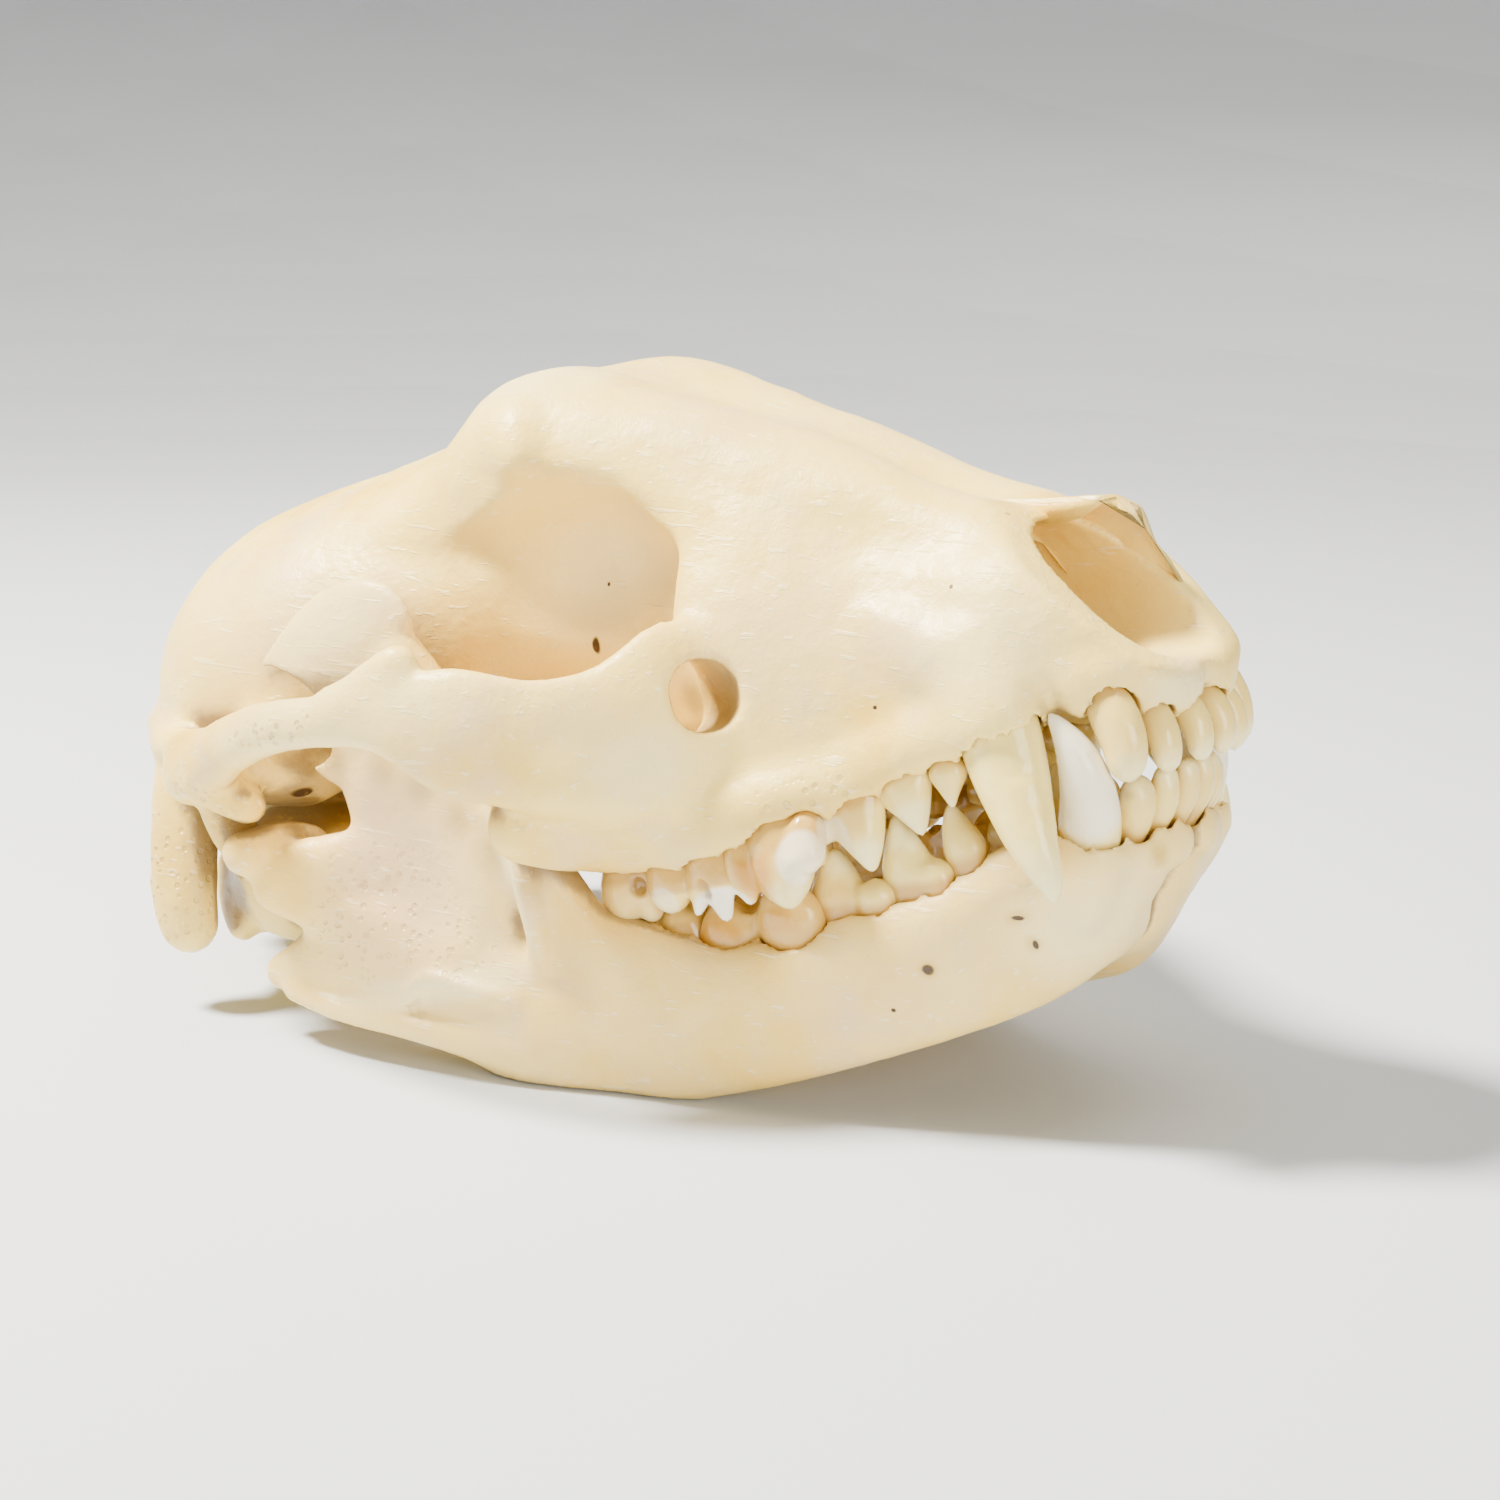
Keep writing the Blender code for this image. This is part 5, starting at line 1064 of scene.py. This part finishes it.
craniumMarks = {
    "relief": {
        "swell": 0.32, "swellSize": 11.0, "ripple": 0.09, "rippleSize": 2.6, "pore": 0.14,
        "poreSize": 1.1},
    "spots": {
        # stains, except the spots in the nose opening, on the palate and in the infraorbital foramen, which
        # are painted shade
        "stainAndShade": [
            ((17, -26, 4), (7, 5, 11), 0.75), ((27, -27, 5), (6, 5, 6), 0.75),
            ((26, -30, 14), (14, 5, 3), 0.55), ((54, -14, 9), (11, 8, 6), 0.6),
            ((76, -18, -2), (14, 6, 3), 0.6), ((103, 0, 9), (12, 9, 7), 0.95),
            ((46, -35, 16), (14, 4, 1.6), 0.4), ((63, -17, 30), (5, 6, 2.5), 0.3),
            ((88, 0, -2), (26, 12, 3), 0.6), ((99, -3, 18.6), (2.5, 3, 1), 0.5),
            ((73.4, -15.0, 8.4), (4, 4, 4), 0.7)],
        "rosy": [
            ((84, -17, 12), (14, 9, 8), 0.4), ((30, -22, 26), (20, 10, 12), 0.3),
            ((70, -28, 9), (7, 6, 5), 0.3), ((77, -8, 30), (12, 8, 6), 0.25)],
        "pale": [
            ((64, -12, 19), (11, 8, 9), 0.85), ((101, -13, 8), (9, 7, 9), 0.4),
            ((58, -10, 39), (14, 12, 5), 0.5), ((52, -34, 13), (20, 4, 6), 0.6),
            ((72, -24, 4), (9, 6, 5), 0.5), ((112, -4, 1), (4, 6, 3), 0.6)],
        "porous": [
            ((16, -26, 3), (6, 5, 10), 1), ((28, -31, 8), (6, 4, 6), 0.9),
            ((46, -36, 13.4), (10, 3, 1.6), 0.9), ((84, -18, -1), (14, 4, 1.6), 0.7)],
        # painted shade, near black: in the nose passage, along the tunnel of the infraorbital foramen, in
        # the ear passage and over the palate
        "deepShade": [
            ((84, 0, 11), (14, 9, 7), 0.9), ((73.9, -17.0, 8.2), (3, 3, 3), 0.6),
            ((71.5, -14.0, 8.1), (3, 3, 3), 0.6), ((69.0, -11.0, 8.1), (3, 3, 3), 0.6),
            ((66.6, -8.0, 8.0), (3, 3, 3), 0.6), ((64.1, -5.0, 7.9), (3, 3, 3), 0.6),
            ((61.7, -2.0, 7.9), (3, 3, 3), 0.6), ((22.8, -20, 3), (4, 6, 3), 0.9),
            ((82, 0, -3), (24, 10.5, 4), 0.45)]},
    # small foramina, painted dark as shade
    "holes": [
        ((60.5, 11.6, 14.6), (0.45, 2, 0.9)), ((32.7, 22.9, 7.7), (0.8, 1.5, 0.7)),
        ((98, 10.8, 12.6), (0.22, 2, 0.22)), ((90.2, 14.6, 4.6), (0.22, 2, 0.22)),
        ((62.6, 11, 19.5), (0.18, 2, 0.25))]}
jawMarks = {
    "relief": {
        "swell": 0.28, "swellSize": 10.0, "ripple": 0.08, "rippleSize": 2.4, "pore": 0.14,
        "poreSize": 1.1},
    "spots": {
        # the row along the lower edge of the cheek arch is its painted shadow on the ramus, the spot in
        # front of the ramus ridge is painted shade, the band on the inner side is painted shade in the
        # mouth, and one spot darkens the underside of the body; the rest are stains
        "stainAndShade": [
            ((41.3, -25.0, 10.4), (2.2, 5, 2.2), 0.6), ((47.1, -25.0, 9.0), (2.2, 5, 2.2), 0.6),
            ((50.8, -25.0, 6.5), (2.2, 5, 2.2), 0.6), ((54.0, -25.0, 3.0), (2.2, 5, 2.2), 0.6),
            ((56.7, -25.0, -0.4), (2.2, 5, 2.2), 0.6), ((59.8, -25.0, -3.4), (2.2, 5, 2.2), 0.6),
            ((63.7, -25.0, -5.6), (2.2, 5, 2.2), 0.6), ((60, -20, -22), (12, 6, 4), 0.3),
            ((84, 11, -13), (24, 3, 7), 0.8), ((61, -23, -8), (4, 5, 7), 0.35),
            ((107.2, -5, -11.9), (1, 1.4, 2), 0.9), ((97.2, -11.6, -14.1), (1.5, 1.5, 0.9), 0.9),
            ((97.4, -10.6, -16.6), (0.9, 1.5, 1.3), 0.9), ((89.6, -14.6, -16.8), (1.2, 1.5, 1.2), 0.9),
            ((76, -18, -12.6), (12, 4, 1.6), 0.5)],
        # the ramus spot is partly the bone's pinkish-grey tone and partly painted shade under the cheek arch
        "rosy": [((44, -25, 0), (13, 5, 15), 0.85), ((84, -15, -18), (10, 6, 5), 0.25)],
        # the narrow stripe on the front ridge of the ramus is a painted highlight on its lit side; the
        # others are paler patches
        "pale": [
            ((100, -6, -15), (10, 8, 8), 0.6), ((44, -27, 21), (12, 3, 7), 0.4),
            ((46, -26, -11), (16, 4, 2.4), 0.7), ((57.5, -25, -3), (1.6, 4, 10), 0.6)],
        "porous": [((42, -26, -4), (11, 5, 8), 0.8), ((50, -25, -8), (6, 5, 4), 0.6)],
        # painted shade: on the inner side in the mouth, and a row along the shadow of the cheek arch on the
        # ramus
        "deepShade": [
            ((84, 10.5, -13), (22, 2.6, 6), 0.4), ((40.8, -24.0, 10.0), (2.4, 6, 2.4), 0.24),
            ((46.0, -24.0, 8.5), (2.4, 6, 2.4), 0.24), ((49.6, -24.0, 5.8), (2.4, 6, 2.4), 0.24),
            ((52.6, -24.0, 2.4), (2.4, 6, 2.4), 0.24), ((55.3, -24.0, -1.1), (2.4, 6, 2.4), 0.24),
            ((58.5, -24.0, -4.1), (2.4, 6, 2.4), 0.24)]},
    # foramina, painted dark as shade
    "holes": [
        ((97.2, 11.7, -14.1), (0.55, 2, 0.24)), ((97.4, 10.4, -16.6), (0.22, 2, 0.5)),
        ((89.6, 14.6, -16.8), (0.55, 2, 0.55)), ((85.8, 15.2, -19.6), (0.22, 2, 0.22))]}


def bonePiece(name, field, others, mirrored, marks, material, nodes, triangles, side=1):
    # the skin of a field, thinned, moved along its normals by noise and given its masks
    points, quads = fieldMesh(field, mirrored)
    points, tris, quads = thinned(points, quads, triangles)
    points, tris, quads = facingOut(points, tris, quads)
    allTris = np.concatenate([tris, quads[:, [0, 1, 2]], quads[:, [0, 2, 3]]]) if len(quads) else tris
    normals = pointNormals(points, allTris)
    free = openness([field] + others, points, normals)
    points, normals = points * (1, side, 1), normals * (1, side, 1)
    if side < 0:
        tris, quads = tris[:, ::-1], quads[:, ::-1]
    relief = marks["relief"]
    lift = relief["swell"] * noise(points, relief["swellSize"]) * free
    lift += relief["ripple"] * noise(points + 50, relief["rippleSize"], 3)
    masks = boneMasks(points, marks, free)
    lift -= relief["pore"] * masks["porous"] * noise(points + 90, relief["poreSize"])
    points = points + normals * lift[:, None]
    meshPiece(name, points, tris, quads, masks, material, nodes)


# Far nasal bone: y of its lines from the midline outwards, x and z of its rear and front ends there
nasalPlate = {
    "y": (0.3, 2, 4, 6, 7, 7.7, 8),
    "rear": {"x": (96, 96, 96, 96, 97, 98, 99), "z": (18.8, 18.6, 17.9, 15.8, 13, 10, 7)},
    "front": {
        "x": (105.6, 106, 106, 106.4, 106.7, 107.1, 107.3),
        "z": (17.1, 17, 16.4, 14.7, 12, 9.6, 7.4)},
    "thick": 0.9, "atMidline": 1.5, "midline": 1.2, "ragged": 0.45, "raggedSize": 1.7, "ripple": 0.06,
    "rippleSize": 1.4, "open": 0.9, "stainAndShadeShare": 0.4}


def nasalBone(marks, material):
    # the far nasal bone and the rim of the nose below it: a plate between a rear and a front section,
    # drawn straight from the one to the other; its thickness falls from the midline outwards and,
    # as the root of 1 - u^4, towards the front edge, which wavers with noise
    plate = nasalPlate
    v = np.linspace(0, 1, 60)
    at = np.interp(v, np.linspace(0, 1, len(plate["y"])), plate["y"])
    u = np.linspace(0, 1, 46)[:, None]
    x, z = (through(plate["y"], plate["rear"][k], at) * (1 - u)
            + through(plate["y"], plate["front"][k], at) * u for k in ("x", "z"))
    x = x + u ** 6 * plate["ragged"] * noise(np.stack([at, 0 * at, 0 * at], 1), plate["raggedSize"])
    outer = np.stack([x, at + 0 * x, z], -1)
    across = np.gradient(outer, axis=1)
    inward = np.stack([0 * x, across[..., 2], -across[..., 1]], -1)
    inward /= np.linalg.norm(inward, axis=2)[..., None]
    thick = plate["thick"] + plate["atMidline"] * np.exp(-at / plate["midline"])
    thick = thick * np.sqrt(np.clip(1.03 - u ** 4, 0, 1)) * (1.04 - v ** 3)
    inner = outer + inward * thick[..., None]
    points, tris, quads = closedRings(np.concatenate([outer, inner[:, ::-1]], 1))
    points = points + plate["ripple"] * noise(points, plate["rippleSize"])[:, None]
    masks = boneMasks(points, marks, np.full(len(points), plate["open"]))
    # the stain marks, partly painted shade, at a lower share on the plate
    masks["stainAndShade"] = masks["stainAndShade"] * plate["stainAndShadeShare"]
    meshPiece("nasalBone", points, tris, quads, masks, material)


# Unevenness of a tooth, how much its tone varies from side to side, and how soft the edges of spots are
toothFinish = {"ripple": 0.06, "rippleSize": 1.3, "tone": 0.2, "vary": 0.08, "soft": {"white": 0.2},
               "otherSoft": 0.6}


def toothSet(name, teeth, way, marks):
    # every tooth of both sides as a closed body in one mesh
    parts, start = [], 0
    rng = np.random.default_rng(marks["seed"])
    for key, tooth in teeth.items():
        points, tris, quads = toothSkin(tooth, way)
        neck, tip = (np.array([rows[k][:3] for rows in tooth["cusps"]], float).mean(0) for k in (1, -1))
        height = ((points - neck) @ (tip - neck)) / ((tip - neck) @ (tip - neck))
        tone = marks["tones"].get(key, toothFinish["tone"])
        masks = {"crownHeight": height, "tone": np.full(len(points), tone),
                 "white": np.zeros(len(points)), "decay": np.zeros(len(points))}
        for kind in ("tone", "white", "decay"):
            for centre, radius, strength in marks["spots"].get(kind, ()):
                soft = toothFinish["soft"].get(kind, toothFinish["otherSoft"])
                masks[kind] = np.maximum(masks[kind], strength * blob(points, centre, radius, soft))
        points = points + toothFinish["ripple"] * noise(points, toothFinish["rippleSize"])[:, None]
        for side in (1, -1):
            vary = toothFinish["vary"]
            shade = {k: v + (rng.uniform(-vary, vary) if k == "tone" else 0) for k, v in masks.items()}
            turned = quads[:, ::-1] if side < 0 else quads
            parts.append((points * (1, side, 1), turned + start, shade))
            start += len(points)
    points, quads = (np.concatenate([part[k] for part in parts]) for k in (0, 1))
    masks = {k: np.concatenate([part[2][k] for part in parts]) for k in parts[0][2]}
    meshPiece(name, points, np.zeros((0, 3), int), quads, masks, toothEnamel)


upperMarks = {
    "seed": 3,
    "tones": {"molar1": 0.15, "molar2": 0.5, "premolar4": 0.3, "canine": 0.05, "premolar3": 0.1},
    "spots": {
        "tone": [
            ((78.6, 19, -5), (3.8, 4.5, 6.4), 1), ((63.6, 19, -6), (2, 3, 4), 0.4),
            ((86.8, 16, -3), (1.6, 2, 4), 0.5), ((70.8, 20, -6), (1.6, 2, 1.6), 0.5)],
        "white": [
            ((83.6, 20, -6), (2.6, 3, 2.8), 0.6), ((74.4, 20, -9), (3.4, 3, 2.2), 0.9),
            ((68.8, 20.6, -7.6), (1.6, 2, 1.6), 0.4), ((84.4, 16.6, -5), (2, 2, 2.4), 0.5)],
        "decay": [((66.2, 20, -5.8), (1.3, 1.8, 1.3), 1), ((73.3, 20, -7), (0.9, 1.7, 1.2), 0.3)]}}

lowerMarks = {
    "seed": 4,
    "tones": {"molar1": 0.7, "molar2": 0.5, "premolar4": 0.2, "premolar3": 0.12, "canine": 0.0},
    "spots": {
        "tone": [
            ((71.8, 18, -12), (4.4, 4, 4.6), 1), ((78, 18, -11.5), (4.4, 4, 3.6), 0.95),
            ((65, 18, -11.4), (4, 3, 1.6), 0.6), ((83, 15, -10), (1.6, 2, 3), 0.4)],
        "white": [((104.6, 9.6, -3), (4, 4, 7), 0.8)],
        "decay": [((106.8, 6.6, -6.4), (0.8, 0.9, 0.8), 0.4)]}}

craniumBone = boneMaterial("craniumBone", craniumLook, craniumMarks["holes"])
jawBone = boneMaterial("jawBone", jawLook, jawMarks["holes"])
toothEnamel = enamelMaterial(enamelLook)

craniumShape, jawShape = craniumField(), jawField()
print("cranium and jaw blended and hollowed")
bonePiece("cranium", craniumShape, [jawShape], True, craniumMarks, craniumBone,
          ("occiput", "braincase", "snout", "zygomatic_arch_left", "zygomatic_arch_right"), skin["cranium"])
bonePiece("mandibleLeft", jawShape, [craniumShape], False, jawMarks, jawBone,
          ("mandible_left",), skin["mandible"])
bonePiece("mandibleRight", jawShape, [craniumShape], False, jawMarks, jawBone,
          ("mandible_right",), skin["mandible"], side=-1)
nasalBone(craniumMarks, craniumBone)
toothSet("upperTeeth", upperTeeth, -1, upperMarks)
toothSet("lowerTeeth", lowerTeeth, 1, lowerMarks)


# Floor, light and camera

backdrop = {"half": 1.6, "flat": 0.45, "curve": 0.6, "below": 0.0002, "lines": 41,
            "colour": (0.585, 0.63, 0.71, 1), "roughness": 0.9}


def floorPiece():
    # one plain that curves up all round: flat near the skull, height the square of the way beyond
    lines = backdrop["lines"]
    u = np.linspace(-backdrop["half"], backdrop["half"], lines)
    x, y = np.meshgrid(u, u, indexing="ij")
    away = np.clip(np.hypot(x, y) - backdrop["flat"], 0, None)
    z = -backdrop["below"] + backdrop["curve"] * away * away
    i = np.arange(lines - 1)
    a = (i[:, None] * lines + i[None]).ravel()
    mesh = bpy.data.meshes.new("floor")
    mesh.from_pydata(np.stack([x, y, z], -1).reshape(-1, 3).tolist(), [],
                     np.stack([a, a + lines, a + lines + 1, a + 1], -1).tolist())
    material, tree, shader = newMaterial("paleFloor", backdrop["roughness"])
    shader.inputs["Base Color"].default_value = backdrop["colour"]
    mesh.materials.append(material)
    piece = bpy.data.objects.new("floor", mesh)
    bpy.context.scene.collection.objects.link(piece)


lights = {
    "key": {"at": (-0.24, -0.15, 0.46), "size": 0.12, "power": 15.5},
    "overhead": {"at": (0.05, 0.05, 0.6), "size": 0.5, "power": 2.6},
    "front": {"at": (0.6, -0.35, 0.2), "size": 0.4, "power": 5.0},
    "back": {"at": (-0.2, 0.6, 0.4), "size": 0.5, "power": 1.2}}
lightColour, aim = (1.0, 0.92, 0.78), Vector((0.0, 0, 0.03))
studio = {"colour": (1, 0.96, 0.88, 1), "strength": 0.18}


def addLights():
    for name, light in lights.items():
        data = bpy.data.lights.new(name, "AREA")
        data.shape, data.size, data.energy = "DISK", light["size"], light["power"]
        data.color = lightColour
        lamp = bpy.data.objects.new(name, data)
        lamp.location = light["at"]
        lamp.rotation_euler = (aim - lamp.location).to_track_quat("-Z", "Y").to_euler()
        bpy.context.scene.collection.objects.link(lamp)
    world = bpy.data.worlds.new("studio")
    world.use_nodes = True
    around = world.node_tree.nodes["Background"].inputs
    around["Color"].default_value = studio["colour"]
    around["Strength"].default_value = studio["strength"]
    bpy.context.scene.world = world


camera = {
    "azimuth": 36.862, "elevation": 11.961, "distance": 0.25626,
    "target": (0.014317, -0.00799, 0.027865),
    "lens": 72.21}


def addCamera():
    a, e = math.radians(camera["azimuth"]), math.radians(camera["elevation"])
    back = Vector((math.sin(a) * math.cos(e), -math.cos(a) * math.cos(e), math.sin(e)))
    data = bpy.data.cameras.new("camera")
    data.lens, data.sensor_width, data.clip_start = camera["lens"], 36.0, 0.01
    shooter = bpy.data.objects.new("camera", data)
    shooter.location = Vector(camera["target"]) + back * camera["distance"]
    shooter.rotation_euler = back.to_track_quat("Z", "Y").to_euler()
    bpy.context.scene.collection.objects.link(shooter)
    bpy.context.scene.camera = shooter


floorPiece()
addLights()
addCamera()
print("floor, lights and camera placed")
